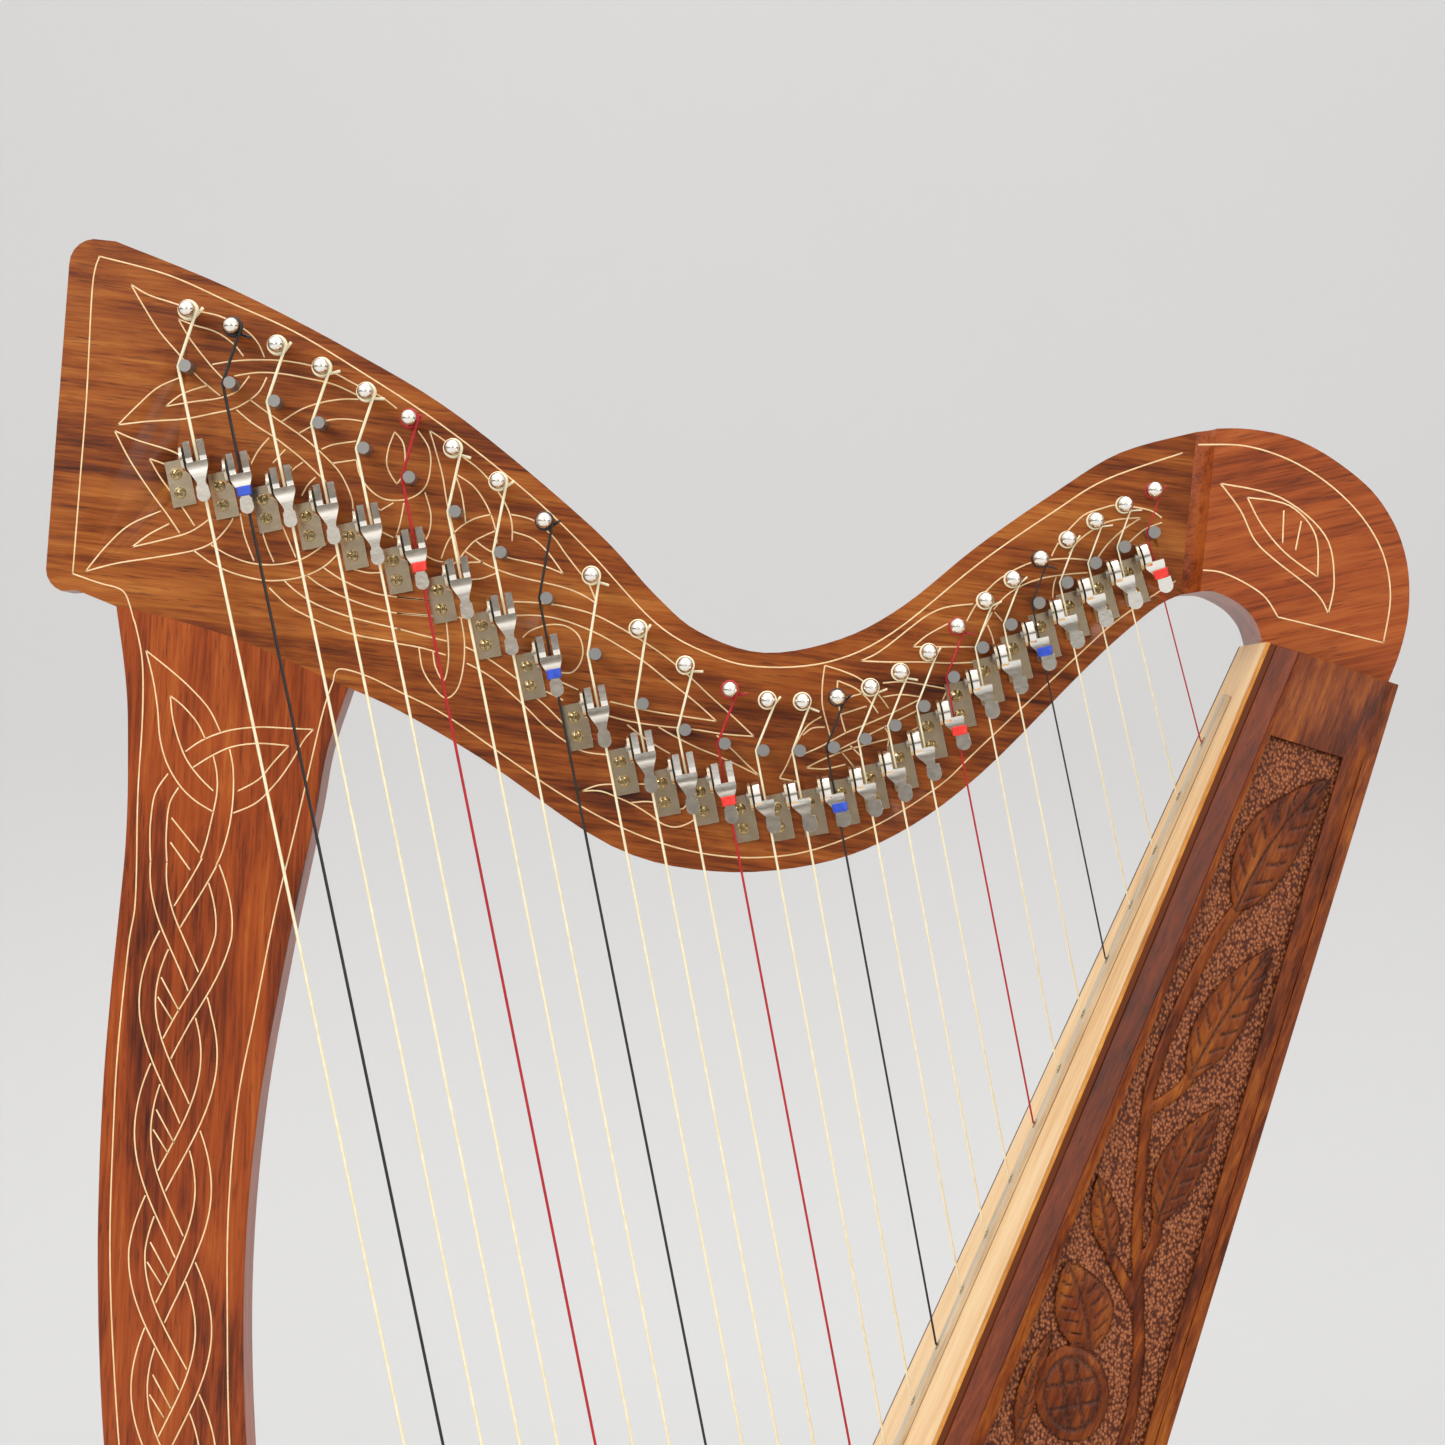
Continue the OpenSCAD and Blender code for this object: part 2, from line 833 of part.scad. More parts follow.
// Handle outline seen from the front, from the shoulder down to the rounded paddle
function handle_outline(top, neck_x, neck_z, foot_x, foot_z, w) =
    concat(smooth([[top, -2.4], [top, -5], [neck_x + 1.9, neck_z],
            [foot_x + w - 0.3, foot_z + 3.5]], 5),
        arc([foot_x, foot_z], w, 20, -200, 10),
        smooth([[foot_x - w + 0.3, foot_z + 3.5], [neck_x - 1.9, neck_z], [-lever_w / 2, -5],
            [-lever_w / 2, -2.4]], 5));

// Bent strip that gives the handle its thickness: seen from the side it bows outwards
function strip_outline(len) =
    concat(smooth([[-1.9, 0.4], [-1.9, -5], [-2.6, -9], [-3.6, -len - 1]], 4),
        smooth([[-5.4, -len - 1], [-4.6, -9], [-4.1, -5], [-4.1, 0.4]], 4));

module handle(outline, len) {
    intersection() {
        rotate([90, 0, 0])
            linear_extrude(12)
                polygon(outline);
        rotate([90, 0, 90])
            translate([0, 0, -12])
                linear_extrude(24)
                    polygon(strip_outline(len));
    }
}

// Forked lever: two cheeks astride the string, joined in front below the axle
module forked_lever(i) {
    tip = 6.6;
    len = 20;
    difference() {
        union() {
            for (x = [-lever_w / 2, slot_half])
                translate([x, 0, 0]) {
                    rotate([0, 90, 0])
                        cylinder(h = lever_w / 2 - slot_half, r = 4.2);
                    translate([0, -4.2, 0])
                        cube([lever_w / 2 - slot_half, 5.2, tip]);
                }
            handle(handle_outline(lever_w / 2, 0.2, -11.5, 0.2, -len + 2.9, 2.9), len);
        }
        translate([-lever_w, 0, 0])
            rotate([0, 90, 0])
                cylinder(h = lever_w - slot_half - 0.2, r = axle_r + running_fit);
    }
}

// Drum lever: one broad drum left of the string, a lug in front of it, and a curved handle
module drum_lever(i) {
    len = 17;
    difference() {
        union() {
            translate([-lever_w / 2, 0, 0])
                rotate([0, 90, 0])
                    cylinder(h = lever_w / 2 - slot_half, r = drum_r);
            handle(handle_outline(3.6, 0.9, -9.5, 1.6, -len + 3.2, 3.2), len);
        }
        translate([-lever_w, 0, 0])
            rotate([0, 90, 0])
                cylinder(h = lever_w - slot_half - 0.2, r = axle_r + running_fit);
    }
}

module lever(i) {
    color(nickel)
    on_string(i)
        if (i <= forked_levers)
            forked_lever(i);
        else
            drum_lever(i);
}

// ---- Strings ------------------------------------------------------------------------------

coil_gap = 0.02;
knot_r = 2.4;

// One string: the winding on its pin, the run to the bridge pin, the speaking length, and
// the short run through the ribs and the soundboard
module string(i) {
    r = string_r(i);
    p = tuning_at(i);
    ring = pin_r + coil_gap + 2 * r + 0.6;
    mid = (pin_r + coil_gap + ring) / 2;
    wound_y = string_y - 0.5;
    start = [p[0] + mid * cos(10), wound_y, p[1] - mid * sin(10)];
    knee = 1.15 * r;
    end = string_end(i);
    translate([p[0], wound_y, p[1]])
        rotate([90, 0, 0])
            difference() {
                translate([0, 0, -r - 1])
                    cylinder(h = 2 * r + 2, r = ring);
                translate([0, 0, -5])
                    cylinder(h = 10, r = pin_r + coil_gap);
            }
    rod(start, string_top(i), r);
    translate(string_top(i))
        sphere(r = knee);
    rod(string_top(i), end, r);
    translate(end)
        sphere(r = knee);
    rod(end, board_point(hole_u(i), board_t + inner_rib_t + 1), r);
}

module strings_natural() {
    color(nylon)
    for (i = [1:string_count])
        if (!is_c[i] && !is_f[i])
            string(i);
}

module strings_c() {
    color(red)
    for (i = [1:string_count])
        if (is_c[i])
            string(i);
}

module strings_f() {
    color(black)
    for (i = [1:string_count])
        if (is_f[i])
            string(i);
}

module string_eyelets() {
    color(brass)
    for (i = [1:string_count])
        difference() {
            rod(board_point(hole_u(i), -rib_t - 0.4), board_point(hole_u(i), -rib_t), 2.2);
            rod(board_point(hole_u(i), -10), board_point(hole_u(i), 30), 1.2);
        }
}

module string_knots() {
    color(nylon)
    for (i = [1:string_count])
        difference() {
            translate(board_point(hole_u(i), board_t + inner_rib_t + knot_r))
                sphere(r = knot_r);
            rod(board_point(hole_u(i), -10), board_point(hole_u(i), board_t + inner_rib_t + 1.2),
                string_r(i) + fit);
        }
}

module lever_01() { lever(1); }
module lever_02() { lever(2); }
module lever_03() { lever(3); }
module lever_04() { lever(4); }
module lever_05() { lever(5); }
module lever_06() { lever(6); }
module lever_07() { lever(7); }
module lever_08() { lever(8); }
module lever_09() { lever(9); }
module lever_10() { lever(10); }
module lever_11() { lever(11); }
module lever_12() { lever(12); }
module lever_13() { lever(13); }
module lever_14() { lever(14); }
module lever_15() { lever(15); }
module lever_16() { lever(16); }
module lever_17() { lever(17); }
module lever_18() { lever(18); }
module lever_19() { lever(19); }
module lever_20() { lever(20); }
module lever_21() { lever(21); }
module lever_22() { lever(22); }
module lever_23() { lever(23); }
module lever_24() { lever(24); }
module lever_25() { lever(25); }
module lever_26() { lever(26); }
module lever_27() { lever(27); }

neck();
pillar();
shoulder_block();
joint_dowels();
pillar_bolt();
top_block();
soundboard();
string_rib();
inner_rib();
side_panel_left();
side_panel_right();
corner_stave_left();
corner_stave_right();
binding_left();
binding_right();
back_panel();
back_braces();
bottom_block();
base_block();
base_plate();
feet();
base_screws();
tuning_pins();
bridge_pins();
lever_brackets();
bracket_screws();
lever_axles();
lever_washers();
strings_natural();
strings_c();
strings_f();
string_eyelets();
string_knots();
lever_01();
lever_02();
lever_03();
lever_04();
lever_05();
lever_06();
lever_07();
lever_08();
lever_09();
lever_10();
lever_11();
lever_12();
lever_13();
lever_14();
lever_15();
lever_16();
lever_17();
lever_18();
lever_19();
lever_20();
lever_21();
lever_22();
lever_23();
lever_24();
lever_25();
lever_26();
lever_27();
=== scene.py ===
# %% [markdown]
# A lever harp in rosewood, worked up from its measured frame. Every solid that the maker saws,
# turns or bends is already in the frame. This script gives the surfaces: the eased edges, the
# inlaid lines, the carving, the wound strings and the finishes.

import json
import math

import bmesh
import bpy
import numpy as np
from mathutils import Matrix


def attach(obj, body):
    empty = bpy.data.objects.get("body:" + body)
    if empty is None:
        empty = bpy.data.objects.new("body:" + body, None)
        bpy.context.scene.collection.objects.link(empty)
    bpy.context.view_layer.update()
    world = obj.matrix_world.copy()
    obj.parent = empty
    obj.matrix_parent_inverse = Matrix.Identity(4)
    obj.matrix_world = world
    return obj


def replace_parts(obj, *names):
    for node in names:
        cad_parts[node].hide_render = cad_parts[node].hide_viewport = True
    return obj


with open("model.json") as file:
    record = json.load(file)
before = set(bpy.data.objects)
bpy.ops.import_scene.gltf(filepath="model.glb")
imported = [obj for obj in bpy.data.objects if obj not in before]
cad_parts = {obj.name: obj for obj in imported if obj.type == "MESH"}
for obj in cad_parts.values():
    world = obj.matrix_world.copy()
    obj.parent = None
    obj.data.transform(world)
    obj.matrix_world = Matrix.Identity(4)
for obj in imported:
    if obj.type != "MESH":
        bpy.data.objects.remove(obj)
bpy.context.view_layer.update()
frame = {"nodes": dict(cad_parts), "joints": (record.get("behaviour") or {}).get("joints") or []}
nodes = frame["nodes"]
MM = 0.001

# %% [markdown]
# The camera stands straight in front of the string side, at the height of the soundbox's top, with
# a lens long enough that the neck and the pillar keep their drawn shapes.

# %% Camera
camera_data = bpy.data.cameras.new("camera")
camera_data.sensor_width = 36
camera_data.lens = 79.7
camera = bpy.data.objects.new("camera", camera_data)
camera.location = (-0.001, -1.390, 0.712)
camera.rotation_euler = (math.radians(90), 0, 0)
bpy.context.scene.collection.objects.link(camera)
bpy.context.scene.camera = camera
bpy.context.scene.view_settings.view_transform = "Standard"

# %% [markdown]
# Two small helpers carry the whole script: one turns a colour as a painter writes it into the light
# values that a shader needs, and one adds a shader node with its settings and its links.

# %% Helpers for colours and shader nodes
def colour(code):
    """Linear RGBA of an sRGB hex code: below 0.04045 a straight line, above it a power of 2.4."""
    s = np.array([int(code[i:i + 2], 16) / 255 for i in (1, 3, 5)])
    return (*np.where(s <= 0.04045, s / 12.92, ((s + 0.055) / 1.055) ** 2.4), 1.0)


def add(tree, kind, sockets=None, **settings):
    """Adds a shader node. sockets maps an input's name or number to a value or another socket."""
    item = tree.nodes.new(kind)
    for key, value in settings.items():
        setattr(item, key, value)
    for key, value in (sockets or {}).items():
        if isinstance(value, bpy.types.NodeSocket):
            tree.links.new(value, item.inputs[key])
        else:
            item.inputs[key].default_value = value
    return item


def new_material(name):
    """An empty material and its node tree, with the shader and output in place."""
    made = bpy.data.materials.new(name)
    made.use_nodes = True
    made.node_tree.nodes.clear()
    shader = add(made.node_tree, "ShaderNodeBsdfPrincipled")
    add(made.node_tree, "ShaderNodeOutputMaterial", {"Surface": shader.outputs[0]})
    return made, made.node_tree, shader


def ramp(tree, value, stops):
    """A colour ramp: stops is a list of (place, hex code)."""
    item = add(tree, "ShaderNodeValToRGB", {"Fac": value})
    band = item.color_ramp
    while len(band.elements) < len(stops):
        band.elements.new(0.5)
    for element, (place, code) in zip(band.elements, stops):
        element.position = place
        element.color = colour(code)
    return item.outputs["Color"]


def noise(tree, vector, scale, detail=2.0, rough=0.5, twist=0.0):
    """A noise value between 0 and 1, scale patches to the metre."""
    item = add(tree, "ShaderNodeTexNoise", {"Vector": vector, "Scale": scale, "Detail": detail,
                                            "Roughness": rough, "Distortion": twist})
    return item.outputs["Fac"]


def maths(tree, operation, first, second=0.0, third=0.0):
    """One arithmetic step on numbers or sockets."""
    item = add(tree, "ShaderNodeMath", {0: first, 1: second, 2: third}, operation=operation)
    return item.outputs[0]


# %% [markdown]
# The studio is a pale sweep of paper: a floor that curves up into a wall, so no line shows behind
# the harp. The light is soft, from large panels, as for a catalogue. The paper is clear when it is
# looked at from its back, so that a camera behind the wall still sees the harp.

# %% Studio
def sweep_sheet(width, front, bend, height, radius, steps=24):
    """Floor, quarter circle and wall carried along x: y and z follow the profile of the bend."""
    turn = np.linspace(0, math.pi / 2, steps)
    y = np.concatenate([[front], bend + radius * np.sin(turn), [bend + radius]])
    z = np.concatenate([[0], radius - radius * np.cos(turn), [height]])
    verts = [(x, b, c) for x in (-width, width) for b, c in zip(y, z)]
    count = len(y)
    faces = [(i, i + count, i + count + 1, i + 1) for i in range(count - 1)]
    mesh = bpy.data.meshes.new("studio_floor")
    mesh.from_pydata(verts, [], faces)
    mesh.polygons.foreach_set("use_smooth", [True] * len(faces))
    return bpy.data.objects.new("studio_floor", mesh)


paper, tree, shader = new_material("backdrop_paper")
shader.inputs["Roughness"].default_value = 0.9
grain_of_paper = noise(tree, add(tree, "ShaderNodeTexCoord").outputs["Object"], 3.0)
tree.links.new(ramp(tree, grain_of_paper, [(0, "#c6c6c6"), (1, "#c9c9c9")]),
               shader.inputs["Base Color"])
through = add(tree, "ShaderNodeMixShader", {
    0: add(tree, "ShaderNodeNewGeometry").outputs["Backfacing"], 1: shader.outputs[0],
    2: add(tree, "ShaderNodeBsdfTransparent").outputs[0]})
tree.links.new(through.outputs[0], tree.nodes["Material Output"].inputs["Surface"])
floor = sweep_sheet(4.0, -4.0, 1.2, 4.0, 0.7)
floor.data.materials.append(paper)
bpy.context.scene.collection.objects.link(floor)

sky = bpy.data.worlds.new("soft_sky")
sky.use_nodes = True
tree = sky.node_tree
upward = add(tree, "ShaderNodeSeparateXYZ", {0: add(tree, "ShaderNodeTexCoord").outputs["Generated"]})
level = add(tree, "ShaderNodeMapRange", {"Value": upward.outputs[2], "From Min": -1.0})
glow = ramp(tree, level.outputs[0], [(0.0, "#b8b8b8"), (0.42, "#a8a49e"), (0.47, "#5a544c"),
                                     (0.53, "#948c82"), (0.6, "#ece9e4"), (0.8, "#ffffff")])
tree.links.new(glow, tree.nodes["Background"].inputs["Color"])
tree.nodes["Background"].inputs["Strength"].default_value = 1.1
bpy.context.scene.world = sky


def panel_light(name, place, size, power, aim):
    """A square soft light at place that looks at aim."""
    lamp = bpy.data.lights.new(name, "AREA")
    lamp.shape = "SQUARE"
    lamp.size = size
    lamp.energy = power
    item = bpy.data.objects.new(name, lamp)
    item.location = place
    way = np.array(aim, float) - np.array(place, float)
    item.rotation_euler = (math.atan2(math.hypot(way[0], way[1]), -way[2]), 0,
                           math.atan2(way[1], way[0]) - math.pi / 2)
    bpy.context.scene.collection.objects.link(item)


panel_light("key_light", (-1.7, -2.2, 2.2), 1.3, 44, (0, 0, 0.55))
panel_light("fill_light", (2.2, -2.0, 1.3), 1.6, 22, (0, 0, 0.5))
panel_light("top_light", (0.2, 0.2, 2.9), 1.6, 22, (0, 0, 0.4))

# %% [markdown]
# The wood of this harp is a golden-brown rosewood with darker streaks, sanded fine and lacquered.
# A board's figure is long along the grain and narrow across it, so every pattern here is a noise
# squeezed across the grain: broad heartwood streaks, flowing growth lines, fine fibres, and the
# short dark pores that tell rosewood from plain brown timber.

# %% Wood
def wood(name, stops, grain_deg, streak_mm=30.0, line_mm=5.0, pores=0.5, gloss=0.32, seed=0.0,
         stretch=9.0, coat=0.0):
    """Sawn, sanded and lacquered timber. grain_deg is the grain's angle above +X in the x-z plane."""
    made, tree, shader = new_material(name)
    place = add(tree, "ShaderNodeTexCoord").outputs["Object"]
    turned = add(tree, "ShaderNodeMapping", {"Vector": place, "Location": (seed, seed, seed),
                                             "Rotation": (0, math.radians(grain_deg), 0)})
    squeezed = [add(tree, "ShaderNodeMapping", {"Vector": turned.outputs[0],
                                                "Scale": (1 / pull, 1, 1)}).outputs[0]
                for pull in (stretch * 0.6, stretch * 1.6, stretch * 3)]
    broad = noise(tree, squeezed[0], 1000 / streak_mm, 6.0, 0.62, 0.8)
    growth = noise(tree, squeezed[1], 1000 / line_mm, 5.0, 0.66, 0.5)
    fibre = noise(tree, squeezed[2], 1000 / 1.1, 2.0, 0.6)
    figure = maths(tree, "MULTIPLY_ADD", broad, 0.46, maths(tree, "MULTIPLY", growth, 0.36))
    figure = maths(tree, "MULTIPLY_ADD", fibre, 0.18, figure)
    tone = ramp(tree, figure, stops)
    specks = noise(tree, squeezed[1], 1000 / 0.8, 1.0, 0.5)
    pore = add(tree, "ShaderNodeMapRange", {"Value": specks, "From Min": 0.62, "From Max": 0.74,
                                            "To Min": 0.0, "To Max": pores}).outputs[0]
    shade = add(tree, "ShaderNodeMix", {"Factor": pore, 6: tone, 7: colour("#2c1208")},
                data_type="RGBA", blend_type="MIX")
    tree.links.new(shade.outputs[2], shader.inputs["Base Color"])
    rough = add(tree, "ShaderNodeMapRange", {"Value": fibre, "To Min": gloss,
                                             "To Max": gloss + 0.16}).outputs[0]
    tree.links.new(rough, shader.inputs["Roughness"])
    height = maths(tree, "SUBTRACT", maths(tree, "MULTIPLY", fibre, 0.5), pore)
    bump = add(tree, "ShaderNodeBump", {"Height": height, "Strength": 0.12, "Distance": 0.0002})
    tree.links.new(bump.outputs[0], shader.inputs["Normal"])
    shader.inputs["Specular IOR Level"].default_value = 0.18
    shader.inputs["Coat Weight"].default_value = coat
    shader.inputs["Coat Roughness"].default_value = 0.3
    return made


neck_wood = wood("rosewood_neck", [(0.37, "#351405"), (0.44, "#6a2e0a"), (0.5, "#8a4512"),
                                   (0.56, "#9c571f"), (0.64, "#b26e2e")], -7, seed=0.3, coat=0.25)
pillar_wood = wood("rosewood_pillar", [(0.37, "#3c1405"), (0.44, "#6c2a0a"), (0.5, "#8b3a0e"),
                                       (0.57, "#9c4816"), (0.65, "#ad6024")], 87, seed=1.7, coat=0.25)
shoulder_wood = wood("rosewood_shoulder", [(0.36, "#41190a"), (0.44, "#72300f"),
                                           (0.5, "#914216"), (0.58, "#a55422")], 12, seed=3.1, coat=0.35)
PANEL_STOPS = [(0.37, "#2c0f03"), (0.44, "#582308"), (0.5, "#76350c"), (0.58, "#924e14"),
               (0.66, "#ae7a2e")]
panel_wood = wood("rosewood_panel", PANEL_STOPS, 68, seed=4.4)
stave_wood = wood("dark_rosewood_stave", [(0.37, "#280c03"), (0.46, "#54210a"),
                                          (0.54, "#6a2c0f"), (0.64, "#843e18")], 66.3, seed=6.2)
base_wood = wood("dark_rosewood_base", [(0.37, "#2c1006"), (0.46, "#592a11"), (0.54, "#703818"),
                                        (0.64, "#844722")], 0, seed=7.7)
dark_edge = wood("dark_binding", [(0.37, "#220b04"), (0.46, "#421b0a"), (0.54, "#562610"),
                                  (0.64, "#6a3417")], 66.3, seed=5.5)
spruce = wood("spruce_soundboard", [(0.37, "#d9a468"), (0.46, "#e9c08a"), (0.54, "#f2cf9e"),
                                    (0.64, "#f6d9ae")], 66.3, seed=8.8, line_mm=2.0, pores=0.0,
              gloss=0.42)
golden_edge = wood("golden_binding", [(0.37, "#8a4a18"), (0.46, "#b9762c"), (0.54, "#d19341"),
                                      (0.64, "#e0b064")], 66.3, seed=9.6, pores=0.3)
BOARD_EDGE_X, BOARD_EDGE_Z = 0.2295, 0.746  # the top of the soundboard, in metres
BOARD_IN_X, BOARD_IN_Z = 0.9157, 0.4019  # the way into the soundbox, as a unit vector
EDGE_HIGHLIGHT_DEPTH = 0.0013  # depth of the painted highlight along the binding's top edge, in metres
# The near binding is golden along its top 1.3 mm and dark brown below it: the golden band is a painted
# highlight where that edge catches the light.
tree = golden_edge.node_tree
shader = next(n for n in tree.nodes if n.type == "BSDF_PRINCIPLED")
spot = add(tree, "ShaderNodeSeparateXYZ", {0: add(tree, "ShaderNodeTexCoord").outputs["Object"]})
depth = maths(tree, "MULTIPLY", maths(tree, "SUBTRACT", spot.outputs[0], BOARD_EDGE_X),
              BOARD_IN_X)
depth = maths(tree, "SUBTRACT", depth, maths(tree, "MULTIPLY", maths(
    tree, "SUBTRACT", spot.outputs[2], BOARD_EDGE_Z), BOARD_IN_Z))
under = maths(tree, "GREATER_THAN", depth, EDGE_HIGHLIGHT_DEPTH)
painted_edge_highlight = add(tree, "ShaderNodeMix", {"Factor": under, 7: colour("#5e2d14"),
                                      6: shader.inputs["Base Color"].links[0].from_socket},
              data_type="RGBA")
tree.links.new(painted_edge_highlight.outputs[2], shader.inputs["Base Color"])
# The rib is greige, duller and darker than the cream board: painted shade, the tone its near side face
# has in shade, laid over the whole rib.
rib_painted_shade = wood("rib_greige_painted_shade", [(0.37, "#ab9478"), (0.46, "#c2ae92"), (0.54, "#d0bea2"),
                                   (0.64, "#dccbb2")], 66.3, seed=10.4, line_mm=3, pores=0.15)

# %% [markdown]
# Metal parts: the levers and their brackets are nickel-plated brass, bright and a little wavy, and
# the bridge pins are plain turned steel, duller. Both take their whole look from reflection.

# %% Metals and small materials
def metal(name, code, rough, wave_mm, dent=0.0):
    """Plated or turned metal: full metallic, with a faint unevenness wave_mm across."""
    made, tree, shader = new_material(name)
    place = add(tree, "ShaderNodeTexCoord").outputs["Object"]
    waves = noise(tree, place, 1000 / wave_mm, 3.0)
    shader.inputs["Base Color"].default_value = colour(code)
    shader.inputs["Metallic"].default_value = 1.0
    spread = add(tree, "ShaderNodeMapRange", {"Value": waves, "To Min": rough,
                                              "To Max": rough + 0.12}).outputs[0]
    tree.links.new(spread, shader.inputs["Roughness"])
    bump = add(tree, "ShaderNodeBump", {"Height": waves, "Strength": 0.1 + dent,
                                        "Distance": 0.0002})
    tree.links.new(bump.outputs[0], shader.inputs["Normal"])
    return made


def plain(name, low, high, patch_mm, rough):
    """Moulded or drawn plastic, rubber or fibre with a slight change of tone patch_mm across."""
    made, tree, shader = new_material(name)
    place = add(tree, "ShaderNodeTexCoord").outputs["Object"]
    patches = noise(tree, place, 1000 / patch_mm, 2.0)
    tree.links.new(ramp(tree, patches, [(0.3, low), (0.7, high)]), shader.inputs["Base Color"])
    spread = add(tree, "ShaderNodeMapRange", {"Value": patches, "To Min": rough,
                                              "To Max": rough + 0.1}).outputs[0]
    tree.links.new(spread, shader.inputs["Roughness"])
    return made


nickel = metal("nickel_plate", "#f6f1e8", 0.12, 3.0, 0.15)
# The brackets' nickel is browner and a little rougher than the levers'.
brown_tinted_nickel = metal("brown_tinted_nickel_plate", "#dccbb0", 0.16, 7.0, 0.25)
steel = metal("turned_steel", "#9a9896", 0.38, 1.2, 0.1)
brass = metal("dull_brass_screw", "#b9a67c", 0.18, 1.2, 0.1)
fibre_black = plain("black_fibre", "#141313", "#1e1c1b", 1.5, 0.6)
rubber = plain("black_rubber", "#101010", "#1b1b1b", 3.0, 0.7)
nylon_cream = plain("cream_nylon", "#e6dab4", "#f3e9c8", 4.0, 0.28)
nylon_red = plain("red_nylon", "#a30c1c", "#b8121f", 4.0, 0.3)
nylon_black = plain("black_nylon", "#131313", "#202020", 4.0, 0.3)
sleeve_blue = plain("blue_sleeve", "#1f3fa8", "#2f52c8", 2.0, 0.35)
sleeve_red = plain("red_sleeve", "#d8271f", "#ea3a2e", 2.0, 0.35)
maple_inlay = plain("maple_inlay", "#e2bb86", "#f2d4a4", 5.0, 0.4)


# %% [markdown]
# The carved panel is the same timber as its frame. Its ground is punched all over, which leaves
# small rounded pips about 1.2 mm across, with a painted highlight on each pip and painted shade
# in the pits between them. The mesh says where the wood was left smooth (1), where it was punched
# (0) and where a cut runs (between), and cuts get painted shade.

# %% Carved wood
carved_wood = wood("carved_rosewood", PANEL_STOPS, 68, seed=4.4)
tree = carved_wood.node_tree
shader = next(n for n in tree.nodes if n.type == "BSDF_PRINCIPLED")
smooth_wood = add(tree, "ShaderNodeAttribute", attribute_name="smooth_wood").outputs["Fac"]
place = add(tree, "ShaderNodeTexCoord").outputs["Object"]
along = add(tree, "ShaderNodeMapping", {"Vector": place, "Scale": (1, 0.6, 0.75)}).outputs[0]
punches = add(tree, "ShaderNodeTexVoronoi", {"Vector": along, "Scale": 1000 / 1.2})
pit = add(tree, "ShaderNodeMapRange", {"Value": punches.outputs["Distance"], "From Min": 0.12,
                                       "From Max": 0.72}).outputs[0]
# Light at each pip's middle and dark towards its edge: a painted highlight on the pips and painted shade
# in the pits between them.
pip_highlight_pit_shade = ramp(tree, pit, [(0.0, "#b0714b"), (0.5, "#8a4d2d"), (1.0, "#4a2112")])
base = shader.inputs["Base Color"].links[0].from_socket
worked_wood = add(tree, "ShaderNodeMix", {"Factor": smooth_wood, 6: pip_highlight_pit_shade, 7: base},
                  data_type="RGBA")
# Where a cut runs, the colour is pulled towards #230d05: painted shade in the cut.
cut = maths(tree, "MULTIPLY", smooth_wood, maths(tree, "SUBTRACT", 1.0, smooth_wood))
cut_painted_shade = add(tree, "ShaderNodeMix", {"Factor": maths(tree, "MULTIPLY", cut, 2.6),
                                       6: worked_wood.outputs[2], 7: colour("#230d05")},
               data_type="RGBA")
tree.links.new(cut_painted_shade.outputs[2], shader.inputs["Base Color"])
ground = maths(tree, "MULTIPLY", maths(tree, "SUBTRACT", 1.0, smooth_wood), pit)
old_bump = shader.inputs["Normal"].links[0].from_socket
dents = add(tree, "ShaderNodeBump", {"Height": maths(tree, "MULTIPLY", ground, -1.0),
                                     "Strength": 0.8, "Distance": 0.0005, "Normal": old_bump})
tree.links.new(dents.outputs[0], shader.inputs["Normal"])

# %% [markdown]
# Most of the harp's solids have the right shape already and only need a finish. One table says
# which timber, metal, rubber or fibre each of them is made of.

# %% Finishes on the frame
FINISH = {
    "neck": neck_wood, "pillar": pillar_wood, "shoulder_block": shoulder_wood,
    "joint_dowels": spruce, "pillar_bolt": steel, "top_block": stave_wood,
    "soundboard": spruce, "string_rib": rib_painted_shade, "inner_rib": spruce,
    "side_panel_left": panel_wood, "side_panel_right": panel_wood,
    "corner_stave_left": stave_wood, "corner_stave_right": stave_wood,
    "binding_left": golden_edge, "binding_right": dark_edge, "back_panel": panel_wood,
    "back_braces": spruce, "bottom_block": base_wood, "base_block": base_wood,
    "base_plate": base_wood, "feet": rubber, "base_screws": steel, "tuning_pins": nickel,
    "bridge_pins": steel, "lever_brackets": brown_tinted_nickel, "bracket_screws": brass,
    "lever_axles": steel, "lever_washers": fibre_black, "strings_natural": nylon_cream,
    "strings_c": nylon_red, "strings_f": nylon_black, "string_eyelets": brass,
    "string_knots": nylon_cream,
}
for name, item in nodes.items():
    item.data.materials.clear()
    item.data.materials.append(FINISH.get(name, nickel))
print("materials:", len(bpy.data.materials))

# %% [markdown]
# Two ways of making a surface serve for nearly everything here: a section carried along a line,
# which makes strings, inlay lines and sleeves, and an eased copy of a sawn piece, whose sharp
# outline is rounded over as with a hand-held router.

# %% Helpers for shapes
def smooth(points, steps=6):
    """Points on the curve p(t) = (2b + (c-a)t + (2a-5b+4c-d)t2 + (3b-a-3c+d)t3) / 2 through all."""
    p = np.asarray(points, float)
    p = np.vstack([p[:1], p, p[-1:]])
    t = np.arange(steps)[:, None] / steps
    a, b, c, d = (p[i:len(p) - 3 + i, None] for i in range(4))
    made = 0.5 * (2 * b + (c - a) * t + (2 * a - 5 * b + 4 * c - d) * t ** 2
                  + (3 * b - a - 3 * c + d) * t ** 3)
    return np.vstack([made.reshape(-1, p.shape[1]), p[-1:]])


def make_object(name, verts_mm, faces, material, body="harp_frame", smooth_faces=True):
    """A mesh object from points in millimetres that rides on a body of the frame."""
    mesh = bpy.data.meshes.new(name)
    mesh.from_pydata((np.asarray(verts_mm) * MM).tolist(), [], faces)
    mesh.polygons.foreach_set("use_smooth", [smooth_faces] * len(faces))
    mesh.materials.append(material)
    mesh.update()
    item = bpy.data.objects.new(name, mesh)
    bpy.context.scene.collection.objects.link(item)
    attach(item, body)
    return item


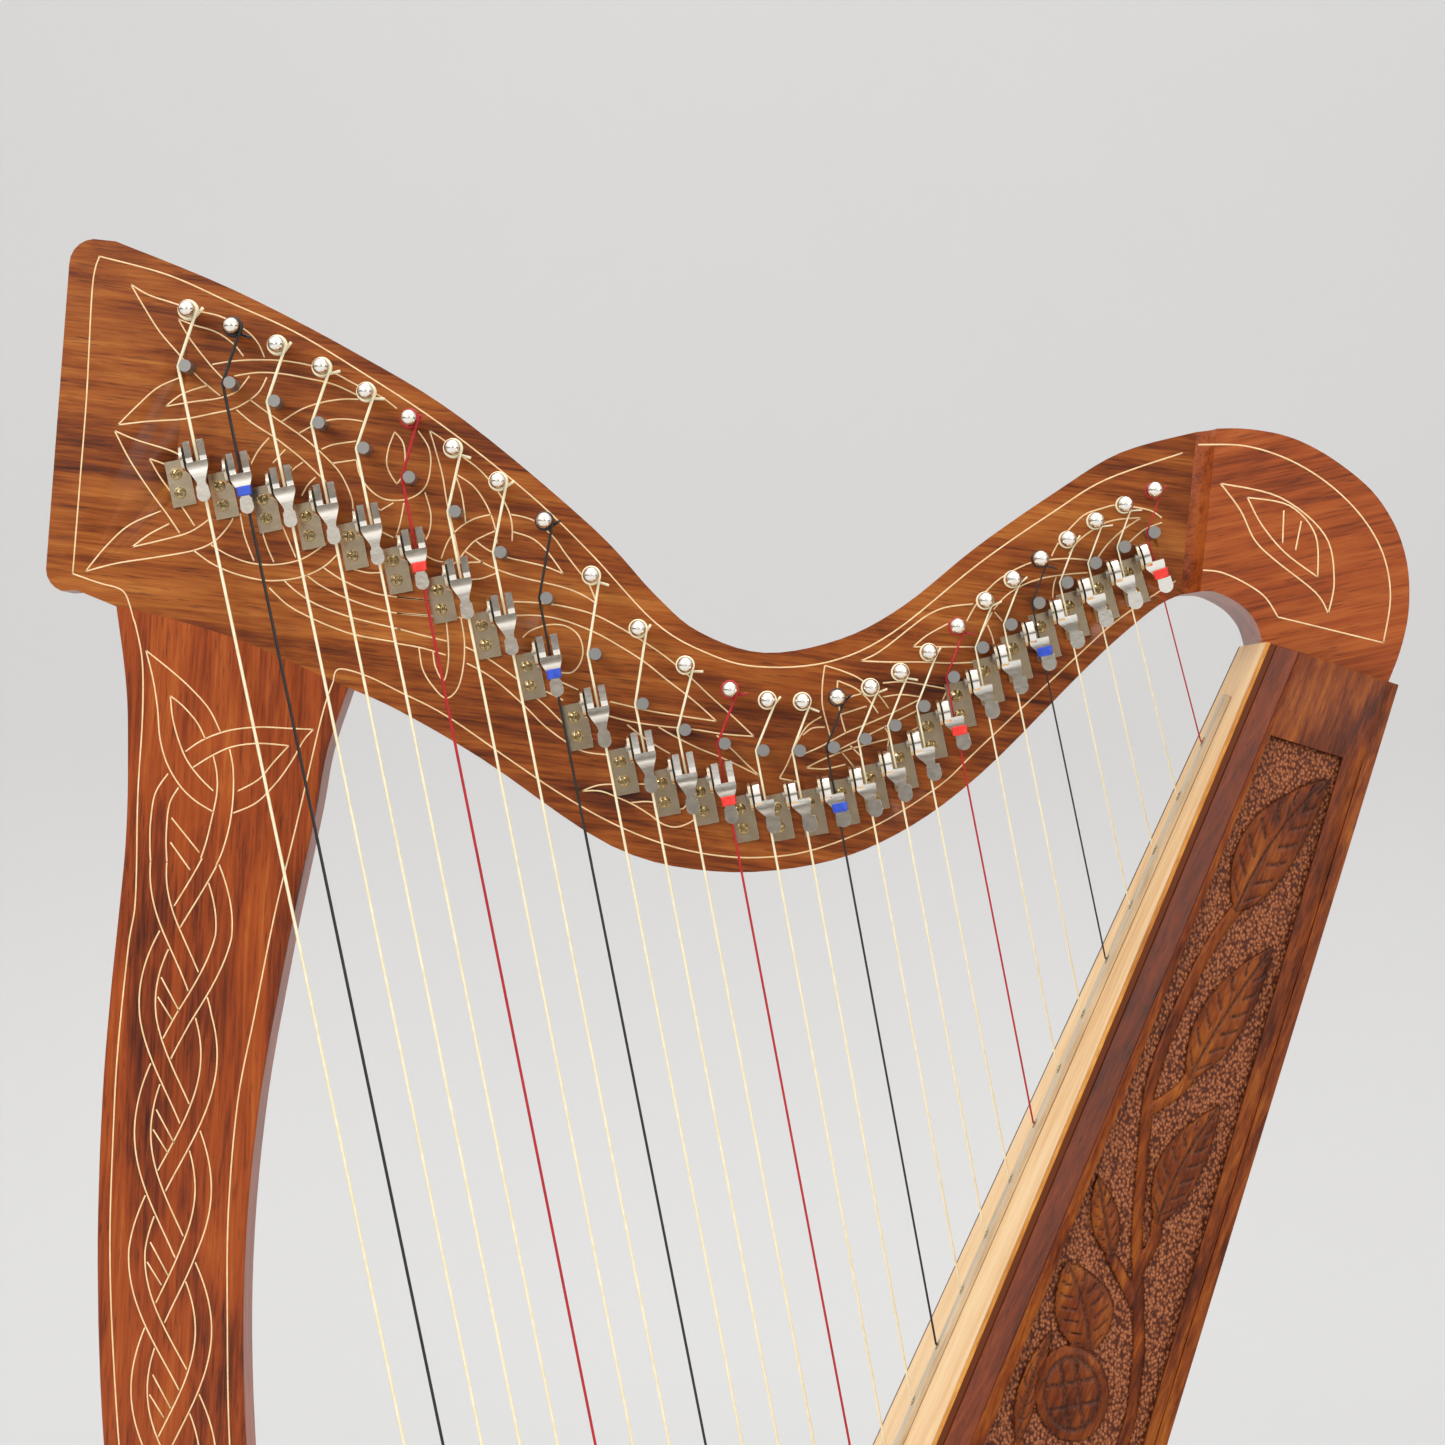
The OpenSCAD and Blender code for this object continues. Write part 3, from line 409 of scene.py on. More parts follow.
def sweep(line, section, side, first=0):
    """A closed solid: section (k, 2) carried along line (n, 3). side is the section's first axis at
    each point, and its second axis is square to it: verts = line + s0 side + s1 (tangent x side)."""
    line = np.asarray(line, float)
    way = np.gradient(line, axis=0)
    way /= np.linalg.norm(way, axis=1, keepdims=True)
    side = np.broadcast_to(side, line.shape) - way * np.sum(side * way, axis=1, keepdims=True)
    side = side / np.linalg.norm(side, axis=1, keepdims=True)
    up = np.cross(way, side)
    section = np.asarray(section, float)
    if section.ndim == 2:
        section = np.broadcast_to(section, (len(line), *section.shape))
    verts = line[:, None] + section[..., :1] * side[:, None] + section[..., 1:] * up[:, None]
    n, k = verts.shape[:2]
    i, j = np.meshgrid(np.arange(n - 1), np.arange(k), indexing="ij")
    a, b = i * k + j, i * k + (j + 1) % k
    quads = np.stack([a, b, b + k, a + k], axis=-1).reshape(-1, 4) + first
    faces = quads.tolist()
    faces.append((np.arange(k)[::-1] + first).tolist())
    faces.append((np.arange(k) + (n - 1) * k + first).tolist())
    return verts.reshape(-1, 3), faces


def ring(radius, sides):
    """A circle of the given radius as a section, turned so that its faces look outwards."""
    turn = np.arange(sides) * 2 * math.pi / sides
    return radius * np.stack([np.cos(turn), np.sin(turn)], axis=1)


def gather(parts):
    """Several (verts, faces) as one, with the faces' numbers moved on."""
    verts, faces, count = [], [], 0
    for some_verts, some_faces in parts:
        verts.append(some_verts)
        faces += [[n + count for n in face] for face in some_faces]
        count += len(some_verts)
    return np.vstack(verts), faces


SEAMS = [smooth([(-162, 727), (-205, 746), (-236, 756), (-262, 762)]),
         np.array([(196, 767), (203, 837)], float), np.array([(229.5, 746), (286, 728)], float)]


def off_seams(middle):
    """Distance in mm from points (n, 2) in x and z to the nearest glued joint of the frame."""
    far = np.full(len(middle), 1e9)
    for seam in SEAMS:
        a, b = seam[:-1], seam[1:]
        t = np.sum((middle[:, None] - a) * (b - a), axis=2) / np.sum((b - a) ** 2, axis=1)
        foot = a + np.clip(t, 0, 1)[..., None] * (b - a)
        far = np.minimum(far, np.linalg.norm(middle[:, None] - foot, axis=2).min(axis=1))
    return far


def eased(node, radius, steps=3, body="harp_frame", outline=False, seams=False):
    """A copy of a CAD node whose sharp edges are rounded to the radius in mm. With outline only the
    longest run of sharp edges on each face is rounded, and pin holes stay crisp."""
    source = nodes[node]
    mesh = source.data.copy()
    work = bmesh.new()
    work.from_mesh(mesh)
    bmesh.ops.remove_doubles(work, verts=work.verts, dist=2e-6)
    bmesh.ops.dissolve_limit(work, angle_limit=math.radians(0.6), verts=work.verts,
                             edges=work.edges)
    weight = work.edges.layers.float.new("bevel_weight_edge")
    sharp = [e for e in work.edges if e.is_manifold and e.calc_face_angle(0) > math.radians(35)]
    if outline:
        sharp = [e for e in sharp if abs(e.verts[0].co.y - e.verts[1].co.y) < 1e-4]
        groups, left = [], set(sharp)
        while left:
            todo, group = [left.pop()], []
            while todo:
                edge = todo.pop()
                group.append(edge)
                near = [o for v in edge.verts for o in v.link_edges if o in left]
                left.difference_update(near)
                todo += near
            groups.append(group)
        long_enough = [g for g in groups if sum(e.calc_length() for e in g) > 0.2]
        sharp = [e for g in long_enough for e in g]
    if sharp:
        middle = np.array([(e.verts[0].co + e.verts[1].co) / 2 for e in sharp]) / MM
        flat = np.array([abs(e.verts[0].co.y - e.verts[1].co.y) < 1e-4 for e in sharp])
        keep = (off_seams(middle[:, [0, 2]]) > 1.2) & flat if seams else np.ones(len(sharp), bool)
        for edge, use in zip(sharp, keep):
            edge[weight] = 1.0 if use else 0.0
    work.to_mesh(mesh)
    work.free()
    mesh.name = node + "_eased"
    item = bpy.data.objects.new(node + "_eased", mesh)
    bpy.context.scene.collection.objects.link(item)
    mesh.polygons.foreach_set("use_smooth", [True] * len(mesh.polygons))
    mesh.set_sharp_from_angle(angle=math.radians(32))
    bevel = item.modifiers.new("eased_edge", "BEVEL")
    bevel.width = radius * MM
    bevel.segments = steps
    bevel.limit_method = "WEIGHT"
    bevel.harden_normals = True
    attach(item, body)
    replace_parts(item, node)
    return item


# %% [markdown]
# The neck, the pillar and the shoulder are sawn from thick boards and their outer edges are
# rounded over by hand. The glued joints between them stay tight, so no rounding runs along them.

# %% Eased woodwork
for node in ("neck", "pillar", "shoulder_block"):
    eased(node, 1.3, outline=True, seams=True)
eased("base_plate", 1.6)
eased("base_block", 1.6, outline=True)
for node in ("corner_stave_left", "corner_stave_right"):
    eased(node, 0.7)
for node in ("binding_left", "binding_right"):
    eased(node, 0.5)
eased("string_rib", 0.6, outline=True)

# %% [markdown]
# The inlay is thin strips of pale wood bent into narrow grooves and scraped almost level. Each
# line is a smooth curve through the points listed for it, in millimetres on the harp's face. The
# points are measured places, turned into millimetres by a separate conversion, so these lists are
# data and not a construction. A better way would build each knot from arcs and a weaving rule, as
# the plait below is. Lines stop where another band passes over them, so the knots read as woven.

# %% Inlay lines on the neck and the shoulder
edge_lines = [
    [(-269, 912.5), (-272, 899.5), (-274.5, 852.5), (-277.5, 814), (-280.5, 776)],
    [(-280.5, 776), (-269, 772), (-261.5, 770), (-258, 767.5), (-256, 762.5), (-254.5, 757)],
    [(-269, 912.5), (-239.5, 904.5), (-212.5, 892.5), (-185, 880), (-157.5, 863.5),
     (-122.5, 840.5), (-84.5, 810.5), (-57.5, 784.5), (-30, 755), (-8, 742), (14, 736),
     (44.5, 738), (72, 750.5), (109.5, 780.5), (142, 803), (164, 816.5), (197, 828)],
    [(-168.5, 729.5), (-166, 735), (-154, 732), (-139.5, 725), (-120, 715), (-92.5, 696),
     (-71, 681.5), (-49, 669), (-27, 660), (-5, 655), (17, 654), (39, 657.5), (66.5, 668.5),
     (92.5, 685), (109.5, 701), (152, 741), (169.5, 756.5), (194, 773)],
]
head_flower = [
    [(-255.5, 900.5), (-250, 891), (-243, 880), (-234, 869.5), (-226.5, 860.5), (-217, 852.5)],
    [(-255.5, 900.5), (-248, 896), (-237.5, 892.5), (-226.5, 889), (-216.5, 886.5), (-206.5, 881),
     (-201, 875.5), (-198, 869)],
    [(-235, 885.5), (-230, 877), (-221.5, 866), (-215, 859)],
    [(-235, 885.5), (-228.5, 883), (-219, 880), (-211.5, 875), (-207, 869.5)],
    [(-261, 840), (-253, 848), (-244, 856), (-234, 860.5)],
    [(-261, 840), (-248.5, 841.5), (-233, 842.5), (-220, 845), (-210, 847.5), (-201, 853.5),
     (-197, 860.5)],
    [(-240.5, 848), (-233, 853.5), (-222.5, 857)],
    [(-240.5, 848), (-228.5, 850), (-217.5, 851.5), (-210, 854.5), (-204.5, 861)],
    [(-262.5, 837.5), (-253, 833.5), (-238.5, 829), (-231, 825), (-223, 820.5)],
    [(-262.5, 837.5), (-256, 825), (-247.5, 812), (-239.5, 801), (-234.5, 793.5)],
    [(-247.5, 825.5), (-242.5, 817), (-234, 805.5), (-228, 796.5)],
    [(-247.5, 825.5), (-239.5, 822.5), (-233, 818.5)],
    [(-275, 777), (-266, 788), (-256, 797), (-242.5, 803)],
    [(-275, 777), (-261.5, 780.5), (-245, 783), (-228.5, 786), (-219.5, 790), (-213.5, 796.5),
     (-211.5, 800)],
    [(-255, 787.5), (-247.5, 793), (-239, 797.5)],
    [(-255, 787.5), (-242, 790.5), (-230, 794), (-221, 800)],
]
head_ribbons = [
    [(-228.5, 786), (-220, 780), (-209, 775.5), (-196, 773), (-182.5, 774.5), (-172.5, 779),
     (-166, 785)],
    [(-221, 788.5), (-213.5, 784), (-203.5, 780.5), (-192.5, 780), (-181.5, 782.5), (-171.5, 789)],
    [(-208.5, 802), (-206.5, 792), (-202.5, 781.5)],
    [(-199.5, 796), (-197, 788), (-194, 781)],
    [(-190.5, 797), (-187.5, 790), (-184.5, 783)],
    [(-210, 846.5), (-203.5, 841), (-195, 835.5), (-189.5, 831.5), (-181.5, 825), (-171.5, 815.5)],
    [(-204.5, 851), (-197, 845.5), (-189, 840), (-180.5, 834), (-171.5, 826), (-165, 818.5),
     (-160.5, 808.5), (-160, 802)],
    [(-220.5, 866), (-211, 867.5), (-200, 868), (-189, 867.5), (-178, 865.5), (-168.5, 862.5),
     (-159, 857.5), (-148.5, 852.5), (-141, 847)],
    [(-211, 861), (-201, 862.5), (-190.5, 862), (-179.5, 860), (-168.5, 857.5), (-158.5, 853)],
    [(-190.5, 841.5), (-182.5, 846.5), (-174, 849.5), (-165, 851), (-157.5, 851)],
    [(-183, 836.5), (-177.5, 839.5), (-170.5, 842), (-163, 842.5), (-155.5, 841.5)],
    [(-173.5, 829.5), (-168.5, 831.5), (-158.5, 833)],
    [(-169, 823.5), (-158.5, 825)],
    [(-205, 820.5), (-201, 828.5), (-196, 834.5)],
    [(-188, 816.5), (-186, 820.5), (-181.5, 824)],
    [(-182, 809.5), (-179.5, 814), (-176, 817.5)],
    [(-194.5, 823.5), (-189, 829.5)],
    [(-142, 837), (-144.5, 830.5), (-145.5, 824), (-144, 819), (-141, 814.5)],
    [(-141, 814.5), (-138, 819.5), (-137.5, 826), (-138.5, 832.5), (-142, 837)],
    [(-132, 837.5), (-127.5, 830.5), (-126.5, 823), (-128.5, 814), (-134, 809), (-141, 807.5),
     (-147.5, 808.5), (-153, 812.5), (-157, 818.5), (-158.5, 825)],
    [(-142.5, 806.5), (-148.5, 803)],
    [(-138, 806.5), (-139.5, 798.5), (-141.5, 791.5)],
    [(-147.5, 794), (-142.5, 791.5)],
    [(-129, 811), (-126.5, 802), (-127, 794.5), (-129.5, 789)],
    [(-196, 770), (-188, 762.5), (-178, 757), (-167.5, 752.5), (-158, 749.5), (-141, 746.5)],
    [(-189.5, 773), (-184.5, 768.5), (-177, 763.5), (-167.5, 759.5), (-158, 756.5), (-139.5, 752)],
    [(-180, 775.5), (-174, 771), (-164, 766), (-153, 762), (-141, 759), (-122.5, 757.5)],
    [(-172.5, 778.5), (-164, 773), (-152, 768), (-141, 766), (-122.5, 764)],
    [(-161.5, 778.5), (-154, 776.5), (-148, 776.5)],
]
middle_knot = [
    [(-127, 837.5), (-124.5, 829.5), (-121.5, 818.5), (-119.5, 806.5), (-116.5, 793.5),
     (-114, 781)],
    [(-127, 837.5), (-121, 833.5), (-113, 826.5), (-107, 822), (-102, 817), (-97, 810.5),
     (-93, 803), (-91.5, 796.5), (-91.5, 790)],
    [(-115.5, 817.5), (-113, 809.5), (-111.5, 798)],
    [(-115, 818.5), (-108, 813.5), (-102.5, 805.5), (-99, 796.5), (-98, 789)],
    [(-122, 782.5), (-119, 790), (-114.5, 795.5), (-108, 799.5), (-100.5, 801.5)],
    [(-114, 782.5), (-111.5, 786), (-107, 790.5), (-98.5, 794.5)],
    [(-107, 790), (-101.5, 786), (-93.5, 783), (-85, 781), (-77, 779), (-69.5, 776)],
    [(-92, 801.5), (-82.5, 799), (-74, 792), (-68.5, 784.5), (-63.5, 778), (-58.5, 771.5),
     (-55, 763)],
    [(-91, 794), (-82.5, 791), (-76, 785), (-69.5, 776)],
    [(-111.5, 785.5), (-104.5, 781), (-97, 777.5), (-88, 774.5), (-77, 772), (-67.5, 769.5),
     (-60.5, 766.5), (-55, 763)],
    [(-110.5, 773.5), (-104.5, 774), (-97.5, 776.5)],
    [(-130, 784.5), (-121.5, 781), (-104, 781)],
    [(-91.5, 764), (-80.5, 763.5), (-69.5, 762), (-56.5, 758.5), (-45.5, 753), (-34.5, 746.5),
     (-24.5, 739.5), (-15.5, 732), (-7, 724), (3, 715), (12.5, 706)],
    [(-91, 758), (-80.5, 758), (-69.5, 756), (-56.5, 751), (-45.5, 745), (-34.5, 738), (-24.5, 730),
     (-13.5, 721.5), (-3.5, 712.5)],
    [(-49.5, 721), (-41, 719), (-30, 716.5), (-17, 714.5), (-3.5, 712.5)],
    [(-50.5, 715), (-41, 712.5), (-28, 710.5), (-13.5, 709), (-0.5, 707), (12.5, 706)],
    [(-87, 748.5), (-83.5, 751.5), (-76, 754), (-68.5, 753.5), (-63, 749.5), (-61, 743),
     (-62.5, 737), (-66, 733.5), (-70.5, 733.5)],
    [(-120, 757.5), (-119, 747), (-119, 737.5), (-121, 730), (-124.5, 736), (-125.5, 742.5)],
    [(-131.5, 744), (-130, 735), (-125.5, 727.5), (-120, 722.5), (-115, 726.5), (-112.5, 736),
     (-112, 747), (-113.5, 757)],
    [(-141, 766), (-127.5, 764.5), (-120, 763)],
    [(-141, 759), (-133, 758.5), (-120, 757.5), (-110, 757)],
    [(-141, 752.5), (-130, 749.5), (-119.5, 747)],
    [(-141, 746), (-130, 744), (-120, 741)],
    [(-111.5, 744.5), (-103.5, 740.5), (-96, 735.5), (-87, 729)],
    [(-111, 737.5), (-103.5, 733.5), (-96, 728), (-86, 719), (-78, 711), (-69.5, 704.5),
     (-60.5, 699.5), (-48.5, 698)],
    [(-85, 725.5), (-78, 720), (-69.5, 711.5)],
    [(-80, 726.5), (-74, 724), (-69.5, 721.5)],
    [(-70.5, 729.5), (-63, 726)],
]
bend_knot = [
    [(-28.5, 710), (-21.5, 706), (-11.5, 701), (-0.5, 696.5), (15, 689)],
    [(-3.5, 706.5), (3.5, 700), (9, 694.5), (15, 689)],
    [(-42, 711), (-33.5, 704.5), (-23.5, 698.5)],
    [(-61.5, 682.5), (-54.5, 685), (-45.5, 685.5), (-33.5, 685.5)],
    [(-61.5, 682.5), (-53.5, 682.5), (-45.5, 679.5), (-39, 676.5), (-32.5, 672.5), (-27, 668.5),
     (-21.5, 667), (-16, 668.5), (-11.5, 671.5)],
    [(-40.5, 677.5), (-33.5, 678), (-27, 677), (-21.5, 675), (-18, 675), (-16, 677.5)],
    [(43, 736.5), (42, 728.5), (42, 719.5), (44, 711), (45.5, 705.5)],
    [(43, 736.5), (51, 734), (58.5, 730.5), (66, 724), (70.5, 718)],
    [(48.5, 730), (48.5, 723), (50, 714.5), (52, 707.5)],
    [(48.5, 730), (56.5, 726.5), (62, 721.5), (66, 716)],
    [(23.5, 688), (27, 694.5), (31, 703.5), (35.5, 710.5), (41.5, 714.5)],
    [(23.5, 688), (31, 686.5)],
    [(35, 692.5), (42, 696), (52, 700), (61, 702.5), (70.5, 705)],
    [(35, 692.5), (43, 692), (52, 694)],
    [(31.5, 697.5), (41, 701.5), (52, 707.5), (64, 712.5), (75, 717.5), (84, 722)],
    [(48.5, 700), (58.5, 705), (69.5, 710.5), (82.5, 717)],
    [(33.5, 706.5), (37.5, 709.5), (43, 710)],
    [(68, 723), (76, 724), (84, 723)],
    [(68, 729), (77, 729.5), (87, 728), (95, 726.5)],
    [(52, 722.5), (61, 725)],
    [(50, 715.5), (61, 719)],
    [(68.5, 710.5), (70.5, 706.5), (70, 701)],
    [(54, 702), (58.5, 697.5)],
    [(50, 699.5), (55.5, 693)],
    [(96, 727), (92.5, 719.5), (86, 712), (79.5, 708)],
]
treble_knot = [
    [(58.5, 738.5), (65, 741.5), (72, 746.5), (79.5, 752.5), (87, 758), (95, 761.5), (107, 763)],
    [(58.5, 738.5), (70.5, 738), (85, 738), (98, 737.5), (109, 738)],
    [(81, 744.5), (87, 749.5), (96, 754.5)],
    [(81, 744.5), (94, 744.5), (107.5, 744.5)],
    [(104, 755.5), (108, 762.5), (113, 769), (120, 775), (131, 780.5), (140, 782), (148.5, 782.5),
     (159, 781.5)],
    [(140.5, 783.5), (144, 790), (149.5, 796.5), (155, 801.5), (162, 804), (168.5, 805.5),
     (177, 804.5), (183.5, 803), (188, 800)],
    [(148, 784.5), (152, 790), (158.5, 795), (164, 798), (170.5, 799.5), (179, 800)],
    [(179, 800), (171.5, 795), (165, 789), (160.5, 783)],
    [(188, 798), (180.5, 795), (174, 789.5)],
    [(115.5, 760.5), (121, 766.5), (128, 771), (136.5, 774), (145.5, 775.5), (156.5, 776.5)],
    [(109, 747.5), (112.5, 754.5), (115, 759.5)],
    [(113, 754), (115, 749), (116, 744.5)],
    [(116, 759.5), (119.5, 755.5)],
    [(141, 765.5), (141.5, 771), (142.5, 774.5)],
]
shoulder_lines = [
    [(202, 830.5), (222, 830), (241, 824), (258, 813.5), (272, 799.5), (281, 783.5),
     (284, 765.5), (281, 746)],
    [(281, 746), (236, 757)],
    [(236, 757), (230.5, 765.5), (222, 771.5), (212, 776), (204, 777)],
    [(211.5, 814), (237, 808), (256, 792), (260, 773), (257.5, 758.5)],
    [(211.5, 814), (220, 802.5), (226, 790), (234.5, 781.5), (252, 767.5), (257.5, 758.5)],
    [(223, 808), (241, 804.5), (252, 792), (253, 774)],
    [(223, 808), (229, 796.5), (239, 784.5), (253, 774)],
    [(238.5, 802.5), (238, 788.5)],
    [(246, 798), (243.5, 785.5)],
]

# %% [markdown]
# Down the pillar runs a plait of three bands under a three-cornered knot. The knot is again a list
# of measured points, and so are the rows that give the plait's middle and width. The plait itself
# is a formula: the bands are three equal waves a third of a turn apart, and after each outer
# bend a band goes over its neighbour first and under the next one.

# %% Inlay lines on the pillar
pillar_knot = [
    [(-249, 743), (-246, 731), (-244, 718), (-243, 705.5), (-240, 694.5), (-234.5, 685),
     (-228, 678.5), (-220, 673.5)],
    [(-249, 743), (-239, 735), (-230.5, 727.5), (-222, 718), (-217, 708)],
    [(-238.5, 723.5), (-237.5, 714), (-235, 704.5), (-231.5, 696), (-226, 688.5), (-220, 682.5)],
    [(-238.5, 723.5), (-233, 719), (-227, 712), (-223.5, 705)],
    [(-232, 699.5), (-224.5, 704.5), (-213.5, 708.5), (-200.5, 710), (-188, 709.5), (-177, 709)],
    [(-177, 709), (-181, 704.5), (-186.5, 695), (-193, 686), (-201.5, 677.5), (-211.5, 673)],
    [(-229, 692.5), (-221, 697.5), (-212, 701.5), (-200.5, 703), (-187.5, 702)],
    [(-187.5, 702), (-194, 695), (-200.5, 687.5), (-209.5, 682.5)],
    [(-220, 697.5), (-218.5, 690), (-218.5, 681.5), (-220.5, 671.5), (-223, 661), (-225.4, 653.6)],
    [(-213, 700.5), (-211.5, 692), (-211.5, 680), (-213, 668), (-216, 657), (-218.8, 650.5)],
    [(-239.5, 690), (-245, 681.5), (-247, 669.5), (-247.3, 660), (-247, 652)],
    [(-235, 684), (-239, 676.5), (-240.3, 663), (-240, 652)],
    [(-238, 671), (-226, 656)],
    [(-238.5, 660.5), (-230, 648.5)],
]
pillar_edges = [
    [(-254.5, 757), (-253, 752), (-250.5, 737.5), (-250.5, 714), (-252.5, 680), (-253.5, 636),
     (-256.5, 616), (-261, 572.5), (-263, 537), (-264.5, 485), (-262.5, 430), (-258, 370),
     (-252, 310), (-243, 240), (-231, 170), (-220, 122)],
    [(-168.5, 729.5), (-173.5, 714), (-184.5, 667), (-193.5, 630), (-202.5, 585), (-209.5, 549),
     (-213.5, 502.5), (-214, 459), (-213, 401.5), (-208, 340), (-200, 280), (-191, 215),
     (-178, 150), (-171, 122)],
    [(-220, 122), (-171, 122)],
]


PLAIT_STEP = 57.0
PLAIT_START = 623.5
PLAIT_ROWS = np.array([(130, -197, 12.5), (200, -210, 13.5), (300, -226, 13.5),
                       (400, -237, 14.5), (485, -239.2, 13.8), (545, -236.5, 13.5),
                       (585, -235, 14.0), (620, -231, 15.5), (652, -229, 14.5)])


def plait(low, high, band=3.5):
    """Lines of the plait from height low to high. Band k's middle is at
    x = c(z) + A(z) cos q, q = 2 pi (start - z) / (3 step) + 2 pi k / 3, and it is hidden
    where it lies within another band while q mod pi is past pi / 2."""
    z = np.arange(high, low, -0.8)
    centre, reach = (np.interp(z, PLAIT_ROWS[:, 0], PLAIT_ROWS[:, n]) for n in (1, 2))
    turn = [2 * math.pi * ((PLAIT_START - z) / PLAIT_STEP + k) / 3 for k in range(3)]
    mid = [centre + reach * np.cos(q) for q in turn]
    slope = [np.gradient(x, z) for x in mid]
    lines = []
    for k in range(3):
        size = np.hypot(1, slope[k])
        for side in (-band, band):
            x, y = mid[k] + side / size, z - side * slope[k] / size
            near = [np.abs(x - np.interp(-y, -z, mid[n]))
                    < (band + 0.5) * np.interp(-y, -z, np.hypot(1, slope[n]))
                    for n in range(3) if n != k]
            hidden = (near[0] | near[1]) & (np.mod(turn[k], math.pi) > math.pi / 2)
            cuts = np.flatnonzero(np.diff(np.concatenate([[1], hidden, [1]]).astype(int)))
            lines += [np.stack([x, y], axis=1)[a:b] for a, b in zip(cuts[::2], cuts[1::2])
                      if b - a > 4]
    return lines


def hatches(low, high):
    """Two slanting strokes inside each left-hand bend of the plait."""
    made = []
    for z in np.arange(PLAIT_START - PLAIT_STEP / 2, low, -PLAIT_STEP):
        if z < high:
            x = np.interp(z, PLAIT_ROWS[:, 0], PLAIT_ROWS[:, 1] - PLAIT_ROWS[:, 2])
            made += [[(x + 5.8, z + 7.5), (x + 13.5, z - 7)], [(x + 4.4, z - 1), (x + 10.6, z - 11)]]
    return made


plait_lines = plait(128, 652) + hatches(140, 652)
print("plait lines:", len(plait_lines))


# %% [markdown]
# A strip of inlay stands a hair above the wood once the lacquer has shrunk, and that is why it
# catches the light. Each drawn line is swept with one small flat-topped section, and both faces of
# the harp get the same drawing.

# %% Laying the strips into the faces
def strips(lines, face, width=0.78, proud=0.1, seated=0.25):
    """Pale strips on the plane y = face: a flat-topped ridge carried along each line."""
    out = 1 if face > 0 else -1
    half = width / 2
    section = [(-half, -seated), (half, -seated), (half * 0.75, proud), (-half * 0.75, proud)]
    parts = []
    for line in lines:
        flat = np.asarray(line, float)
        if len(flat) < 2:
            continue
        path = np.stack([flat[:, 0], np.full(len(flat), face), flat[:, 1]], axis=1)
        way = np.gradient(path, axis=0)
        parts.append(sweep(path, section, np.cross((0, out, 0), way)))
    return gather(parts)


neck_lines = [smooth(line) for group in (edge_lines, head_flower, head_ribbons, middle_knot,
                                         bend_knot, treble_knot) for line in group]
pillar_lines = [smooth(line) for group in (pillar_knot, pillar_edges) for line in group]
for where, face_sign in (("front", -1), ("back", 1)):
    verts, faces = strips(neck_lines, face_sign * 14)
    make_object("neck_inlay_" + where, verts, faces, maple_inlay)
    verts, faces = strips(pillar_lines + plait_lines, face_sign * 14)
    make_object("pillar_inlay_" + where, verts, faces, maple_inlay)
    verts, faces = strips([smooth(line) for line in shoulder_lines], face_sign * 25)
    make_object("shoulder_inlay_" + where, verts, faces, maple_inlay)
print("inlay lines:", len(neck_lines) + len(pillar_lines) + len(shoulder_lines))

# %% [markdown]
# The side panels are carved in low relief: the ground is cut down about 3 mm and punched all over,
# and leaves, buds and a winding stem stand up from it. The relief is one height over the panel,
# worked out point by point from the nearest leaf or stem.

# %% Carved panels
CARVE = 3.0
SIDE_A, SIDE_B, SIDE_C = 44.7, 0.122, -0.2
SLANT = math.sqrt(1 + SIDE_B ** 2 + SIDE_C ** 2)
LEAVES = [  # base, tip, width, bulge to the front, all in mm down and into the panel
    ((110, 31), (43, 46), 25, -4), ((182, 40), (117, 52), 20, -1.5), ((242, 51), (187, 57), 19, -2.5),
    ((262, 39), (233, 20), 12, 0), ((301, 46), (270, 22), 25, 2), ((346, 32), (298, 27), 9, -2),
    ((424, 58), (366, 36), 24, -3), ((420, 78), (362, 76), 16, 2), ((500, 84), (438, 82), 20, 2),
    ((548, 64), (486, 44), 26, -3), ((600, 94), (534, 92), 22, 2), ((660, 74), (592, 52), 26, -3)]
STEMS = [
    smooth([(110, 31), (121, 28), (135, 26), (151, 25), (167, 24.7), (183, 25.5), (198, 28),
            (219, 35), (246, 44), (266, 53), (286, 62), (302, 68), (330, 74), (380, 72),
            (424, 69), (500, 76), (570, 83), (640, 88), (696, 92)]),
    smooth([(182, 40), (188, 38), (200, 30)]), smooth([(242, 51), (248, 53), (262, 52)]),
    smooth([(262, 39), (268, 47), (276, 56)]), smooth([(346, 33), (356, 50), (366, 72)]),
    smooth([(424, 58), (432, 64), (440, 70)]), smooth([(548, 64), (556, 72), (564, 81)]),
    smooth([(660, 74), (668, 82), (678, 90)])]
BUDS = [((319, 45.5), 20, 15.5, math.radians(31))]


def along_line(points, line):
    """Distance from each of the points (n, 2) to a line through given points."""
    near = np.full(len(points), 1e9)
    for a, b in zip(line[:-1], line[1:]):
        t = np.clip((points - a) @ (b - a) / ((b - a) @ (b - a)), 0, 1)
        near = np.minimum(near, np.hypot(*(points - a - t[:, None] * (b - a)).T))
    return near


